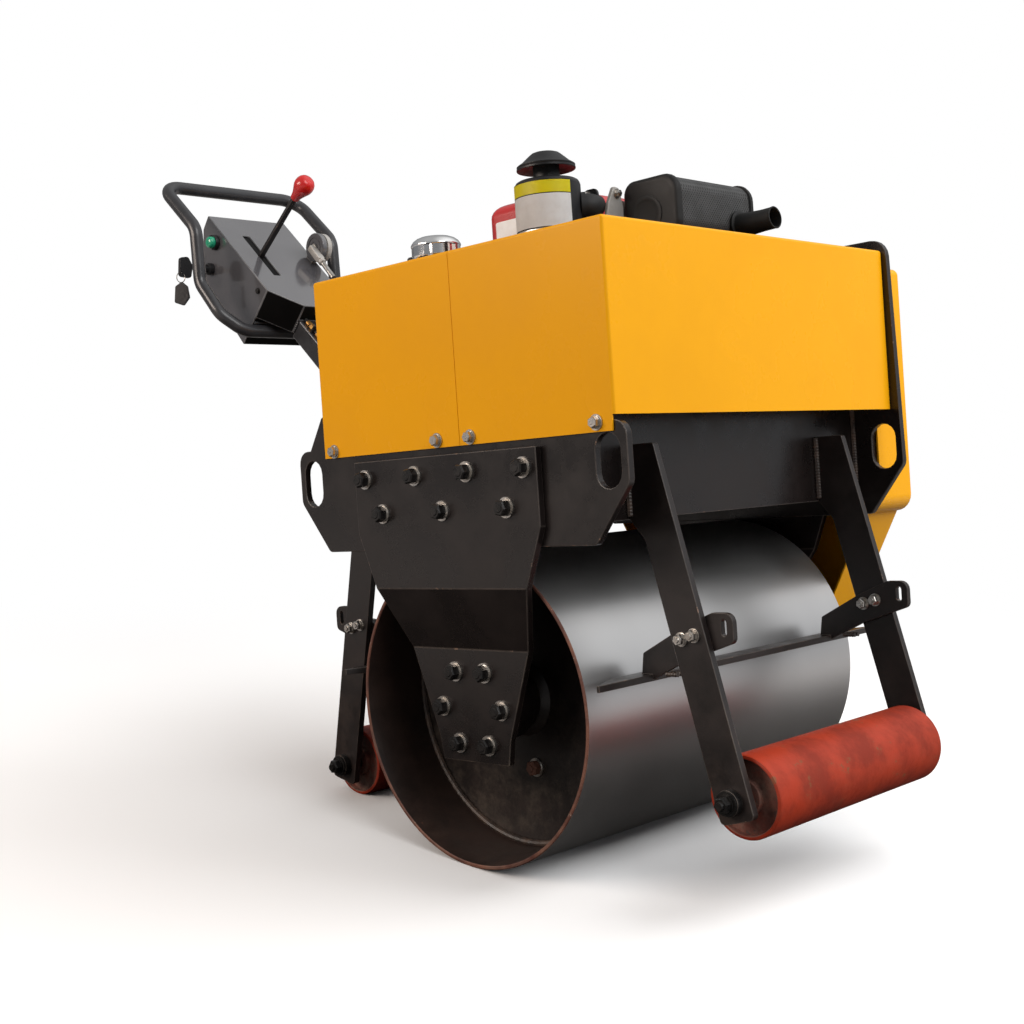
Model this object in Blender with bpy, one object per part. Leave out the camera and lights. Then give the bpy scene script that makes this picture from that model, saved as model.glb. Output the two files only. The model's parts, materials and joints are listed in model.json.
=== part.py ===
"""Walk-behind road roller: one vibrating drum, a small roller before and behind it, and a rear handle.

Everything is modelled in the machine's own level frame, in metres: +X is forward, +Y is the
machine's left, +Z is up, and the drum's lowest line is at z = 0. The small rollers hang clear of
the drum's ground line, so the parked machine leans back until the rear one touches the floor. The
empty named machine carries that lean, which is worked out from the drum and the rear roller.
"""

from math import acos, atan2, cos, degrees, hypot, pi, radians, sin, tan

import bmesh
import bpy
from mathutils import Matrix, Vector
from mathutils.geometry import delaunay_2d_cdt

GAP = 0.0003  # between faces that touch
CUT_OVER = 0.004  # how far a cutter runs past the face it cuts

# Drum
DRUM_RADIUS = 0.250
DRUM_WIDTH = 0.700
DRUM_WALL = 0.012
DRUM_FACETS = 64
DISC_RECESS = 0.120
DISC_THICKNESS = 0.012
HUB_RADIUS = 0.050
HUB_LENGTH = 0.026
STUB_RADIUS = 0.022
STUB_LENGTH = 0.050
HUB_CLEARANCE = 0.006

AXIS_Z = DRUM_RADIUS
FRAME_Z = 2 * DRUM_RADIUS  # the drum's top, which the frame's heights are counted from

# Small rollers
ROLLER_RADIUS = 0.0612
ROLLER_LENGTH = 0.452
ROLLER_FACETS = 32
ROLLER_RIM = 0.007
ROLLER_RECESS = 0.010
ROLLER_HUB_RADIUS = 0.026
ROLLER_BORE_GAP = 0.0005
ROLLER_SIDE_GAP = 0.018
SHAFT_RADIUS = 0.0125
SHAFT_HEAD_RADIUS = 0.019
SHAFT_HEAD_LENGTH = 0.012
FRONT_AXLE = (0.424, 0.131)
REAR_AXLE = (-0.440, 0.107)

# Chassis
PLATE = 0.012
RIGHT_PLATE_GAP = 0.002  # from the drum's end to each side plate's inner face
LEFT_PLATE_GAP = 0.0173
LUG_X = 0.368
LUG_TOP = FRAME_Z + 0.173
LUG_LOW = FRAME_Z + 0.085
PLATE_BOTTOM = FRAME_Z
PLATE_BOTTOM_X = 0.300
PLATE_TOP = FRAME_Z + 0.200
PLATE_TOP_X = 0.290
HORN_TOP = FRAME_Z + 0.228
HORN_REAR = -0.300
HORN_SLOPE = 0.036
LUG_HOLE_X = 0.332
LUG_HOLE_Z = FRAME_Z + 0.117
LUG_HOLE_WIDTH = 0.046
LUG_HOLE_HEIGHT = 0.078
TALL_PLATE_TOP = FRAME_Z + 0.474
TALL_PLATE_FRONT = 0.358
TALL_PLATE_REAR = -0.300
BEAM_FACE_X = 0.272
BEAM_BOTTOM = FRAME_Z + 0.030
DECK_Z = FRAME_Z + 0.120
DECK_THICKNESS = 0.010

# Legs
LEG_WIDTH = 0.060
LEG_TOP = FRAME_Z + 0.140
LEG_KINK = FRAME_Z
LEG_END = 0.030
FRONT_LEG_ANGLE = radians(14.4)
REAR_LEG_ANGLE = radians(13.3)

# Scrapers
SCRAPER_GAP = 0.006
SCRAPER_Z = 0.292
SCRAPER_THICKNESS = 0.010
SCRAPER_DEPTH = 0.034
SCRAPER_OVERHANG = 0.013  # past each end of the drum
SCRAPER_TAPER = 0.060
SCRAPER_TIP = 0.005
SCRAPER_PLATE = 0.010
SCRAPER_BOLT_RISE = 0.081  # from the blade up to the bolts in the legs
SCRAPER_SLOT_OUT = 0.058  # from the leg's middle line
SCRAPER_SLOT_WIDTH = 0.009
SCRAPER_SLOT_HEIGHT = 0.024

# Drum carriers: three levels on the side plate, then three set in beside the drum's disc
CARRIER_HALF_WIDTHS = (0.206, 0.206, 0.170, 0.130, 0.080, 0.073)
CARRIER_UPPER = (0.146, 0.030, -0.060)  # above the frame line
CARRIER_LOWER = (0.092, -0.045, -0.085)  # above the drum's axis
CARRIER_SET_IN = 0.009
HOUSING_FLANGE_RADIUS = 0.082
HOUSING_FLANGE = 0.010
HOUSING_RADIUS = 0.060

# Hood
HOOD_SHEET = 0.003
HOOD_FRONT = 0.351
HOOD_REAR = -0.295
HOOD_SPLIT = 0.040
HOOD_SEAM = 0.0012
HOOD_TOP = FRAME_Z + 0.454
HOOD_SIDE_BOTTOM = FRAME_Z + 0.1575
HOOD_FRONT_BOTTOM = FRAME_Z + 0.180
HOOD_FLANGE = 0.018
HOOD_RETURN = 0.020
HOOD_HORN_GAP = 0.004

# Belt guard
GUARD_DEPTH = 0.108
GUARD_HALF_WIDTH = 0.314
GUARD_TOP = FRAME_Z + 0.435
GUARD_SHOULDER = FRAME_Z
GUARD_FOOT_RADIUS = 0.130

# Engine and tanks
ENGINE_FRONT = 0.220
ENGINE_REAR = -0.120
ENGINE_RIGHT = -0.215
ENGINE_LEFT = 0.170
ENGINE_TOP = FRAME_Z + 0.455
OIL_TANK_FRONT = -0.155
OIL_TANK_SIDE_GAP = 0.022
OIL_TANK_REAR_GAP = 0.002
OIL_TANK_TOP = FRAME_Z + 0.448
BREATHER_PLACE = (-0.218, -0.150)
FUEL_TANK_SIZE = (0.170, 0.240, 0.109)
FUEL_TANK_CENTRE = (-0.040, 0.030)
FUEL_TANK_ROUND = 0.018
FUEL_CAP_PLACE = (-0.050, -0.045)
CLEANER_PLACE = (0.060, -0.155)
CLEANER_RADIUS = 0.0535
CLEANER_RISE = 0.1207
CLEANER_NECK_RADIUS = 0.0215
CLEANER_NECK = 0.024
ELBOW_RADIUS = 0.012
ELBOW_REACH = 0.011
ELBOW_DROP = 0.042  # from the top of the air cleaner
ROCKER_REAR = 0.068
ROCKER_LEFT = -0.010
ROCKER_RISE = 0.0907
ROCKER_ROUND = 0.008
ROCKER_GAP = 0.0035
MUFFLER_SIZE = (0.112, 0.185, 0.100)
MUFFLER_CORNER = (0.123, -0.045, FRAME_Z + 0.472)
MUFFLER_ROUND = 0.020
MUFFLER_FOOT_PLACE = (0.179, 0.050)
MUFFLER_FOOT_RADIUS = 0.022
MUFFLER_FOOT_SINK = 0.010
TAILPIPE_RADIUS = 0.0165
TAILPIPE_WALL = 0.002
TAILPIPE_Y = 0.118
TAILPIPE_RISE = 0.025  # above the muffler's underside
TAILPIPE_END = 0.312

# Handle's mount
PIVOT = (-0.400, FRAME_Z + 0.073)
PIVOT_RADIUS = 0.010
MOUNT_HALF_WIDTH = 0.070
MOUNT_RISE = 0.005  # above the beam's lower edge
MOUNT_TOP = FRAME_Z + 0.150
EAR_RADIUS = 0.026
EAR_THICKNESS = 0.010
EAR_FOOT = (FRAME_Z + 0.045, FRAME_Z + 0.140)
PIN_HEAD_RADIUS = 0.015
PIN_HEAD = 0.007
STOP_RADIUS = 0.0075
STOP_GAP = 0.002
STOP_ALONG = 0.012

# Handle: lengths along and across the console's sloping face, from its rear top edge
ARM_WIDTH = 0.060
ARM_DEPTH = 0.040
ARM_WALL_GAP = 0.0075
ARM_SINK = 0.009  # how far the arm's underside hangs below the console's nose
FACE_ORIGIN = (-0.984, FRAME_Z + 0.715)
FACE_SLOPE = radians(44.0)
FACE_LENGTH = 0.270
NOSE_LENGTH = 0.320
NOSE_HALF_WIDTH = 0.034
NOSE_DEPTH = 0.070
NOSE_OVERLAP = 0.030
CONSOLE_HALF_WIDTH = 0.100
CONSOLE_DEPTH = 0.140
CONSOLE_BACK = ((0.002, 0.034), (0.065, 0.119))
TUBE_RADIUS = 0.0135
LOOP_HALF_WIDTH = 0.178
LOOP_BEND = 0.045
LOOP_GRIP = (-0.050, 0.065)  # each as X and Z from the console face's rear top edge
LOOP_SHOULDER = (0.068, -0.045)
LOOP_ELBOW = (0.071, -0.160)
LOOP_FOOT = (0.118, -0.230)
LOOP_NARROWING = 0.012
LOOP_CROSS_DEPTH = 0.0945
LOOP_CROSS_REACH = 0.025  # of the straight cross bar, past each side of the console

# Cables on top of the arm, from the console's nose down into a slot near the pivot
CABLE_RADIUS = 0.0042
CABLE_ACROSS = 0.016
CABLE_BEND = 0.045
CABLE_DIVE = radians(24)
CABLE_SLOT_START = 0.085  # along the arm from its pivot
CABLE_SLOT_END = 0.135
CABLE_SLOT_WIDTH = 0.011
CABLE_SLOT_DEPTH = 0.016
CABLE_END = 0.105

# Controls
LEVER_Y = -0.040
LEVER_ALONG = 0.138
LEVER_RADIUS = 0.006
LEVER_LENGTH = 0.185
LEVER_WAY = (0.157, 0.118)
LEVER_LIFT = 0.0012  # the lever leans, so the edge of its foot is lower than the middle
SLOT_START = 0.068
SLOT_END = 0.212
SLOT_WIDTH = 0.018
SLOT_DEPTH = 0.012
KNOB_RADIUS = 0.0185
BUTTON_PLACE = (0.022, -0.062)  # X and Z from the console face's rear top edge
BEZEL_RADIUS = 0.016
BEZEL_DEPTH = 0.008
BUTTON_RADIUS = 0.0125
KEY_PLACE = (-0.001, -0.115)
THROTTLE_ALONG = 0.143
THROTTLE_Y = 0.083
THROTTLE_RADIUS = 0.031
THROTTLE_THICKNESS = 0.012
THROTTLE_LIFT = 0.0015
THROTTLE_FOOT = (0.012, 0.011, 0.022)
THROTTLE_ROD_RADIUS = 0.0055
THROTTLE_ROD = ((0.007, 0.030), (0.102, 0.024))  # along from the disc's middle, and height

# Sizes that follow from the ones above
RIGHT_PLATE_INNER = -(DRUM_WIDTH / 2 + RIGHT_PLATE_GAP)
RIGHT_PLATE_OUTER = RIGHT_PLATE_INNER - PLATE
LEFT_PLATE_INNER = DRUM_WIDTH / 2 + LEFT_PLATE_GAP
LEFT_PLATE_OUTER = LEFT_PLATE_INNER + PLATE
CARRIER_INNER_Y = DRUM_WIDTH / 2 - CARRIER_SET_IN
DISC_OUTER = DRUM_WIDTH / 2 - DISC_RECESS
HOUSING_INNER = DISC_OUTER + HUB_LENGTH + HUB_CLEARANCE
LEG_Y = ROLLER_LENGTH / 2 + ROLLER_SIDE_GAP + PLATE / 2
DECK_TOP = DECK_Z + DECK_THICKNESS
ALONG = Vector((cos(FACE_SLOPE), 0, -sin(FACE_SLOPE)))
INTO = Vector((-sin(FACE_SLOPE), 0, -cos(FACE_SLOPE)))


# ---------------------------------------------------------------- basic tools


def clear_scene():
    for obj in list(bpy.data.objects):
        bpy.data.objects.remove(obj, do_unlink=True)


def material(name, colour, roughness, metallic=0.0):
    made = bpy.data.materials.new(name)
    made.use_nodes = True
    shader = made.node_tree.nodes["Principled BSDF"]
    shader.inputs["Base Color"].default_value = (*colour, 1.0)
    shader.inputs["Roughness"].default_value = roughness
    shader.inputs["Metallic"].default_value = metallic
    made.diffuse_color = (*colour, 1.0)
    return made


def empty(name, parent=None, place=(0, 0, 0), turn=0.0):
    made = bpy.data.objects.new(name, None)
    bpy.context.scene.collection.objects.link(made)
    made.parent = parent
    made.location = place
    made.rotation_euler = (0, turn, 0)
    return made


def node(name, shape, paint, parent, place=(0, 0, 0), turn=0.0):
    """One solid of the object, from a bmesh, with its own copy of its paint."""
    bmesh.ops.recalc_face_normals(shape, faces=shape.faces)
    mesh = bpy.data.meshes.new(name)
    shape.to_mesh(mesh)
    shape.free()
    made = bpy.data.objects.new(name, mesh)
    bpy.context.scene.collection.objects.link(made)
    made.parent = parent
    made.location = place
    made.rotation_euler = (0, turn, 0)
    if paint:
        own = paint.copy()
        own.name = name
        mesh.materials.append(own)
    return made


def combine(target, tool, operation):
    """Cuts the tool out of the target, or joins it on. The tool stays as a hidden cutter."""
    tool.hide_render = True
    tool.display_type = "WIRE"
    boolean = target.modifiers.new(tool.name, "BOOLEAN")
    boolean.operation = operation
    boolean.solver = "EXACT"
    boolean.object = tool


def cut(target, tool):
    combine(target, tool, "DIFFERENCE")


def join(target, tool):
    combine(target, tool, "UNION")


def arc(centre, radius, start, end, steps):
    """Points of an arc, from one angle in degrees to another."""
    angles = [radians(start + (end - start) * step / steps) for step in range(steps + 1)]
    return [(centre[0] + radius * cos(a), centre[1] + radius * sin(a)) for a in angles]


def oval(centre, width, height, steps=8):
    """An upright slot outline with round ends."""
    radius = width / 2
    rise = height / 2 - radius
    top = arc((centre[0], centre[1] + rise), radius, 0, 180, steps)
    return top + arc((centre[0], centre[1] - rise), radius, 180, 360, steps)


def circle(centre, radius, steps=24):
    return arc(centre, radius, 0, 360, steps)[:-1]


def rounded(outline, radii, steps=5):
    """An outline with its corners rounded. radii holds one radius for each corner, 0 for sharp."""
    made = []
    for index, (corner, radius) in enumerate(zip(outline, radii)):
        here = Vector(corner)
        if not radius:
            made.append(here)
            continue
        before = (Vector(outline[index - 1]) - here).normalized()
        after = (Vector(outline[(index + 1) % len(outline)]) - here).normalized()
        half = before.angle(after) / 2
        reach = radius / tan(half)
        centre = here + (before + after).normalized() * radius / sin(half)
        first = (here + before * reach - centre).normalized()
        last = (here + after * reach - centre).normalized()
        made += [centre + first.slerp(last, step / steps) * radius for step in range(steps + 1)]
    return [tuple(point) for point in made]


def inside(point, outlines):
    """Whether a plan point is inside the first outline and outside the holes in the others."""
    crossings = 0
    for outline in outlines:
        for (x0, y0), (x1, y1) in zip(outline, outline[1:] + outline[:1]):
            if (y0 > point.y) != (y1 > point.y):
                crossings += point.x < x0 + (point.y - y0) / (y1 - y0) * (x1 - x0)
    return crossings % 2 == 1


def prism(outlines, low, high, axis="Y"):
    """A flat plate: the first outline filled, less the holes in the others, between two planes.

    Outlines are in X and Z with axis Y, or in X and Y with axis Z.
    """
    points = []
    edges = []
    for outline in outlines:
        first = len(points)
        count = len(outline)
        points += [Vector(point) for point in outline]
        edges += [(first + i, first + (i + 1) % count) for i in range(count)]
    plan, _, faces, _, _, _ = delaunay_2d_cdt(points, edges, [], 0, 1e-7)
    shape = bmesh.new()
    lift = (lambda p: (p.x, low, p.y)) if axis == "Y" else (lambda p: (p.x, p.y, low))
    verts = [shape.verts.new(lift(point)) for point in plan]
    for face in faces:
        middle = sum((plan[i] for i in face), Vector((0, 0))) / len(face)
        if inside(middle, outlines):
            shape.faces.new([verts[i] for i in face])
    lifted = bmesh.ops.extrude_face_region(shape, geom=shape.faces[:], use_keep_orig=True)
    offset = (0, high - low, 0) if axis == "Y" else (0, 0, high - low)
    moved = [item for item in lifted["geom"] if isinstance(item, bmesh.types.BMVert)]
    bmesh.ops.translate(shape, verts=moved, vec=offset)
    return shape


def box(low, high):
    shape = bmesh.new()
    bmesh.ops.create_cube(shape, size=1.0)
    size = Vector(high) - Vector(low)
    centre = (Vector(high) + Vector(low)) / 2
    bmesh.ops.scale(shape, verts=shape.verts, vec=size)
    bmesh.ops.translate(shape, verts=shape.verts, vec=centre)
    return shape


def soft_box(low, high, radius, segments=3):
    """A box with all its edges rounded."""
    shape = box(low, high)
    bmesh.ops.bevel(
        shape, geom=shape.edges[:], offset=radius, segments=segments, profile=0.5, affect="EDGES"
    )
    return shape


def turned(profile, facets, axis="Y", closed=False):
    """A profile of (radius, along) points turned about the axis, with a flat facet downward."""
    shape = bmesh.new()
    start = pi / facets
    points = []
    for radius, along in profile:
        if axis == "Y":
            points.append((radius * sin(start), along, -radius * cos(start)))
        else:
            points.append((radius * cos(start), radius * sin(start), along))
    verts = [shape.verts.new(point) for point in points]
    pairs = list(zip(verts, verts[1:]))
    if closed:
        pairs.append((verts[-1], verts[0]))
    edges = [shape.edges.new(pair) for pair in pairs]
    bmesh.ops.spin(
        shape,
        geom=verts + edges,
        cent=(0, 0, 0),
        axis=(0, 1, 0) if axis == "Y" else (0, 0, 1),
        angle=2 * pi,
        steps=facets,
        use_merge=True,
    )
    bmesh.ops.remove_doubles(shape, verts=shape.verts, dist=1e-6)
    return shape


def rod(radius, start, end, facets=20):
    """A plain round bar between two points."""
    start = Vector(start)
    along = Vector(end) - start
    shape = bmesh.new()
    bmesh.ops.create_cone(
        shape, cap_ends=True, segments=facets, radius1=radius, radius2=radius, depth=along.length
    )
    turn = Vector((0, 0, 1)).rotation_difference(along).to_matrix().to_4x4()
    bmesh.ops.transform(
        shape, matrix=Matrix.Translation(start + along / 2) @ turn, verts=shape.verts
    )
    return shape


def fillet_path(corners, radius, closed, steps=5):
    """A path in space through the corners, each rounded to the radius."""
    points = [Vector(corner) for corner in corners]
    made = []
    for index, here in enumerate(points):
        if not closed and index in (0, len(points) - 1):
            made.append(here)
            continue
        before = points[index - 1] - here
        after = points[(index + 1) % len(points)] - here
        half = before.angle(after) / 2
        reach = min(radius / tan(half), before.length * 0.49, after.length * 0.49)
        bend = reach * tan(half)
        centre = here + (before.normalized() + after.normalized()).normalized() * bend / sin(half)
        first = (here + before.normalized() * reach - centre).normalized()
        last = (here + after.normalized() * reach - centre).normalized()
        made += [centre + first.slerp(last, step / steps) * bend for step in range(steps + 1)]
    return made


def tube(name, path, radius, paint, parent, closed=False):
    """A round bar that follows a path."""
    curve = bpy.data.curves.new(name, "CURVE")
    curve.dimensions = "3D"
    curve.bevel_depth = radius
    curve.bevel_resolution = 3
    curve.use_fill_caps = not closed
    spline = curve.splines.new("POLY")
    spline.points.add(len(path) - 1)
    for point, place in zip(spline.points, path):
        point.co = (*place, 1.0)
    spline.use_cyclic_u = closed
    made = bpy.data.objects.new(name, curve)
    bpy.context.scene.collection.objects.link(made)
    made.parent = parent
    own = paint.copy()
    own.name = name
    curve.materials.append(own)
    return made


# ---------------------------------------------------------------- derived places


def lean_angle():
    """How far the parked machine leans back, so that drum and rear roller share one floor."""
    drum = DRUM_RADIUS * cos(pi / DRUM_FACETS)
    roller = ROLLER_RADIUS * cos(pi / ROLLER_FACETS)
    back = -REAR_AXLE[0]
    drop = DRUM_RADIUS - REAR_AXLE[1]
    return atan2(back, drop) - acos((drum - roller) / hypot(back, drop))


LEAN = lean_angle()


def on_face(along, across, depth=0.0):
    """A point by its distance down the console's face, across it, and below its surface."""
    start = Vector((FACE_ORIGIN[0], 0, FACE_ORIGIN[1]))
    return start + ALONG * along + INTO * depth + Vector((0, across, 0))


# ---------------------------------------------------------------- drum and rollers


def drum(paints, parent):
    outer = DRUM_RADIUS
    inner = DRUM_RADIUS - DRUM_WALL
    half = DRUM_WIDTH / 2
    shell = [(outer, -half), (outer, half), (inner, half), (inner, -half)]
    node("drum_shell", turned(shell, DRUM_FACETS, closed=True), paints["steel"], parent)
    for side, name in ((-1, "drum_disc_right"), (1, "drum_disc_left")):
        edge = (inner - GAP) * cos(pi / DRUM_FACETS)
        hub_end = DISC_OUTER + HUB_LENGTH
        profile = [
            (0, DISC_OUTER - DISC_THICKNESS),
            (edge, DISC_OUTER - DISC_THICKNESS),
            (edge, DISC_OUTER),
            (HUB_RADIUS, DISC_OUTER),
            (HUB_RADIUS, hub_end),
            (STUB_RADIUS, hub_end),
            (STUB_RADIUS, hub_end + STUB_LENGTH),
            (0, hub_end + STUB_LENGTH),
        ]
        profile = [(radius, side * along) for radius, along in profile]
        node(name, turned(profile, DRUM_FACETS // 2), paints["frame"], parent)


def roller(name, paint, parent):
    half = ROLLER_LENGTH / 2
    bore = SHAFT_RADIUS + ROLLER_BORE_GAP
    rim = ROLLER_RADIUS - ROLLER_RIM
    floor = half - ROLLER_RECESS
    profile = [
        (bore, -half),
        (ROLLER_HUB_RADIUS, -half),
        (ROLLER_HUB_RADIUS, -floor),
        (rim, -floor),
        (rim, -half),
        (ROLLER_RADIUS, -half),
        (ROLLER_RADIUS, half),
        (rim, half),
        (rim, floor),
        (ROLLER_HUB_RADIUS, floor),
        (ROLLER_HUB_RADIUS, half),
        (bore, half),
    ]
    node(name, turned(profile, ROLLER_FACETS, closed=True), paint, parent)


def roller_shaft(name, axle, paint, parent):
    head = LEG_Y + PLATE / 2 + GAP
    end = head + SHAFT_HEAD_LENGTH
    profile = [
        (0, -end),
        (SHAFT_HEAD_RADIUS, -end),
        (SHAFT_HEAD_RADIUS, -head),
        (SHAFT_RADIUS, -head),
        (SHAFT_RADIUS, head),
        (SHAFT_HEAD_RADIUS, head),
        (SHAFT_HEAD_RADIUS, end),
        (0, end),
    ]
    node(name, turned(profile, 24), paint, parent, (axle[0], 0, axle[1]))


# ---------------------------------------------------------------- chassis


def lower_outline(end):
    """The lug and lower edge of a side plate at one end, from its top down: end is 1 or -1."""
    corners = [(LUG_X, LUG_TOP), (LUG_X, LUG_LOW), (PLATE_BOTTOM_X, PLATE_BOTTOM)]
    return [(end * x, z) for x, z in corners]


def lug_holes():
    width = LUG_HOLE_WIDTH
    return [oval((end * LUG_HOLE_X, LUG_HOLE_Z), width, LUG_HOLE_HEIGHT) for end in (-1, 1)]


def side_plates(paint, parent):
    front = [(PLATE_TOP_X, PLATE_TOP), (PLATE_TOP_X, LUG_TOP)] + lower_outline(1)
    rear = [(-PLATE_TOP_X, PLATE_TOP), (-PLATE_TOP_X, HORN_TOP), (HORN_REAR, HORN_TOP)]
    rear += [(HORN_REAR - HORN_SLOPE, LUG_TOP)] + lower_outline(-1)
    corners = (0, 0, 0.022, 0.02, 0.01, 0.01, 0.02, 0.022, 0, 0.006, 0, 0)
    outline = rounded(front + rear[::-1], corners)
    shape = prism([outline] + lug_holes(), RIGHT_PLATE_OUTER, RIGHT_PLATE_INNER)
    node("side_plate_right", shape, paint, parent)

    front = [(TALL_PLATE_FRONT, TALL_PLATE_TOP)] + lower_outline(1)[1:]
    rear = [(TALL_PLATE_REAR, TALL_PLATE_TOP), (TALL_PLATE_REAR, LUG_TOP)] + lower_outline(-1)
    outline = rounded(front + rear[::-1], (0.03, 0.02, 0.01, 0.01, 0.02, 0.022, 0, 0.03))
    shape = prism([outline] + lug_holes(), LEFT_PLATE_INNER, LEFT_PLATE_OUTER)
    node("side_plate_left", shape, paint, parent)


def cross_members(paint, parent):
    low_y = RIGHT_PLATE_INNER + GAP
    high_y = LEFT_PLATE_INNER - GAP
    for end, name in ((1, "front_cross_beam"), (-1, "rear_cross_beam")):
        faces = sorted((end * BEAM_FACE_X, end * (BEAM_FACE_X - PLATE)))
        shape = box((faces[0], low_y, BEAM_BOTTOM), (faces[1], high_y, PLATE_TOP))
        node(name, shape, paint, parent)
    reach = BEAM_FACE_X - PLATE - GAP
    node("engine_deck", box((-reach, low_y, DECK_Z), (reach, high_y, DECK_TOP)), paint, parent)


LEGS = (("front", FRONT_AXLE, FRONT_LEG_ANGLE, 1), ("rear", REAR_AXLE, REAR_LEG_ANGLE, -1))


def leg_middle(axle, angle, height):
    """How far out from the drum's axis a leg's middle line is at a height."""
    return abs(axle[0]) - tan(angle) * (height - axle[1])


def leg_outline(axle, angle, end):
    """A leg from its weld on the cross beam down to its axle, seen from the machine's right."""
    down = Vector((sin(angle), -cos(angle)))
    out = Vector((cos(angle), sin(angle)))
    spread = LEG_WIDTH / 2 / cos(angle)
    foot = Vector((abs(axle[0]), axle[1])) + down * LEG_END
    points = [
        (BEAM_FACE_X + GAP, LEG_TOP),
        (leg_middle(axle, angle, LEG_TOP) + spread, LEG_TOP),
        foot + out * LEG_WIDTH / 2,
        foot - out * LEG_WIDTH / 2,
        (leg_middle(axle, angle, LEG_KINK) - spread, LEG_KINK),
        (BEAM_FACE_X + GAP, BEAM_BOTTOM),
    ]
    outline = rounded(points, (0, 0.004, 0.008, 0.008, 0.02, 0))
    return [(end * x, z) for x, z in outline]


def legs(paint, parent):
    for place, axle, angle, end in LEGS:
        for side, hand in ((-1, "right"), (1, "left")):
            hole = circle(axle, SHAFT_RADIUS + GAP)
            low = side * LEG_Y - PLATE / 2
            shape = prism([leg_outline(axle, angle, end), hole], low, low + PLATE)
            node(f"leg_{place}_{hand}", shape, paint, parent)


def scraper(place, axle, angle, end, paint, parent):
    """A flat blade across the drum, welded under two side plates that bolt to the legs."""
    lift = SCRAPER_Z - AXIS_Z
    near = (DRUM_RADIUS**2 - lift**2) ** 0.5 + SCRAPER_GAP
    far = near + SCRAPER_DEPTH
    half = DRUM_WIDTH / 2 + SCRAPER_OVERHANG
    full = half - SCRAPER_TAPER
    outline = [(near, -full), (far - SCRAPER_TIP, -half), (far, -half)]
    outline += [(far, half), (far - SCRAPER_TIP, half), (near, full)]
    outline = [(end * x, y) for x, y in outline]
    top = SCRAPER_Z + SCRAPER_THICKNESS
    made = node(f"{place}_scraper", prism([outline], SCRAPER_Z, top, "Z"), paint, parent)

    bolts = SCRAPER_Z + SCRAPER_BOLT_RISE
    middle = leg_middle(axle, angle, bolts)
    corners = [
        (near + 0.012, SCRAPER_Z + 0.002),
        (far - 0.002, SCRAPER_Z + 0.002),
        (middle - 0.017, bolts - 0.051),
        (middle + 0.074, bolts - 0.021),
        (middle + 0.074, bolts + 0.021),
        (middle + 0.038, bolts + 0.021),
        (middle - 0.016, bolts - 0.001),
        (near + 0.018, bolts - 0.040),
    ]
    corners = rounded(corners, (0, 0, 0, 0.010, 0.014, 0.006, 0, 0.004))
    corners = [(end * x, z) for x, z in corners]
    slot = oval((middle + SCRAPER_SLOT_OUT, bolts), SCRAPER_SLOT_WIDTH, SCRAPER_SLOT_HEIGHT, 5)
    slot = [(end * x, z) for x, z in slot]
    inner = LEG_Y - PLATE / 2 - GAP
    for side in (-1, 1):
        faces = sorted((side * inner, side * (inner - SCRAPER_PLATE)))
        plate = prism([corners, slot], *faces)
        join(made, node(f"{place}_scraper_side", plate, None, parent))


def drum_carriers(paint, parent):
    """The bent plates that hang the drum from the side plates, with their bearing housings."""
    heights = [FRAME_Z + rise for rise in CARRIER_UPPER] + [AXIS_Z + rise for rise in CARRIER_LOWER]
    set_in = CARRIER_INNER_Y - PLATE
    for side, outer, hand in ((-1, -RIGHT_PLATE_OUTER, "right"), (1, LEFT_PLATE_OUTER, "left")):
        seats = (outer + GAP,) * 3 + (set_in,) * 3
        shape = bmesh.new()
        rows = []
        for half, height, inner in zip(CARRIER_HALF_WIDTHS, heights, seats):
            corners = [(-half, inner), (half, inner), (half, inner + PLATE), (-half, inner + PLATE)]
            rows.append([shape.verts.new((x, side * y, height)) for x, y in corners])
        for upper, lower in zip(rows, rows[1:]):
            for i in range(4):
                shape.faces.new((upper[i - 1], upper[i], lower[i], lower[i - 1]))
        shape.faces.new(rows[0])
        shape.faces.new(rows[-1])
        node(f"drum_carrier_{hand}", shape, paint, parent)

        bore = STUB_RADIUS + GAP
        flange = set_in - GAP
        end = DISC_OUTER + HUB_LENGTH + STUB_LENGTH + HUB_CLEARANCE
        profile = [
            (bore, HOUSING_INNER),
            (HOUSING_RADIUS, HOUSING_INNER),
            (HOUSING_RADIUS, flange - HOUSING_FLANGE),
            (HOUSING_FLANGE_RADIUS, flange - HOUSING_FLANGE),
            (HOUSING_FLANGE_RADIUS, flange),
            (0, flange),
            (0, end),
            (bore, end),
        ]
        ring = turned([(radius, side * along) for radius, along in profile], 32, closed=True)
        node(f"bearing_housing_{hand}", ring, paint, parent, (0, 0, AXIS_Z))


# ---------------------------------------------------------------- hood and guard


def folded_cover(name, path, paint, parent):
    """A sheet wall along a plan path, with its top edge folded inward. Inward is to the left."""
    bottom = HOOD_SIDE_BOTTOM
    sheet = HOOD_SHEET
    section = [
        (0, bottom),
        (0, HOOD_TOP),
        (HOOD_FLANGE, HOOD_TOP),
        (HOOD_FLANGE, HOOD_TOP - sheet),
        (sheet, HOOD_TOP - sheet),
        (sheet, bottom),
    ]
    points = [Vector(point) for point in path]
    shape = bmesh.new()
    rows = []
    for index, here in enumerate(points):
        ways = []
        if index:
            ways.append((here - points[index - 1]).normalized())
        if index < len(points) - 1:
            ways.append((points[index + 1] - here).normalized())
        inward = [Vector((-way.y, way.x)) for way in ways]
        side = sum(inward, Vector((0, 0))).normalized()
        side /= side.dot(inward[0])
        row = [(here.x + side.x * off, here.y + side.y * off, z) for off, z in section]
        rows.append([shape.verts.new(point) for point in row])
    for row, after in zip(rows, rows[1:]):
        for i in range(len(section)):
            shape.faces.new((row[i - 1], row[i], after[i], after[i - 1]))
    shape.faces.new(rows[0])
    shape.faces.new(rows[-1])
    return node(name, shape, paint, parent)


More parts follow.
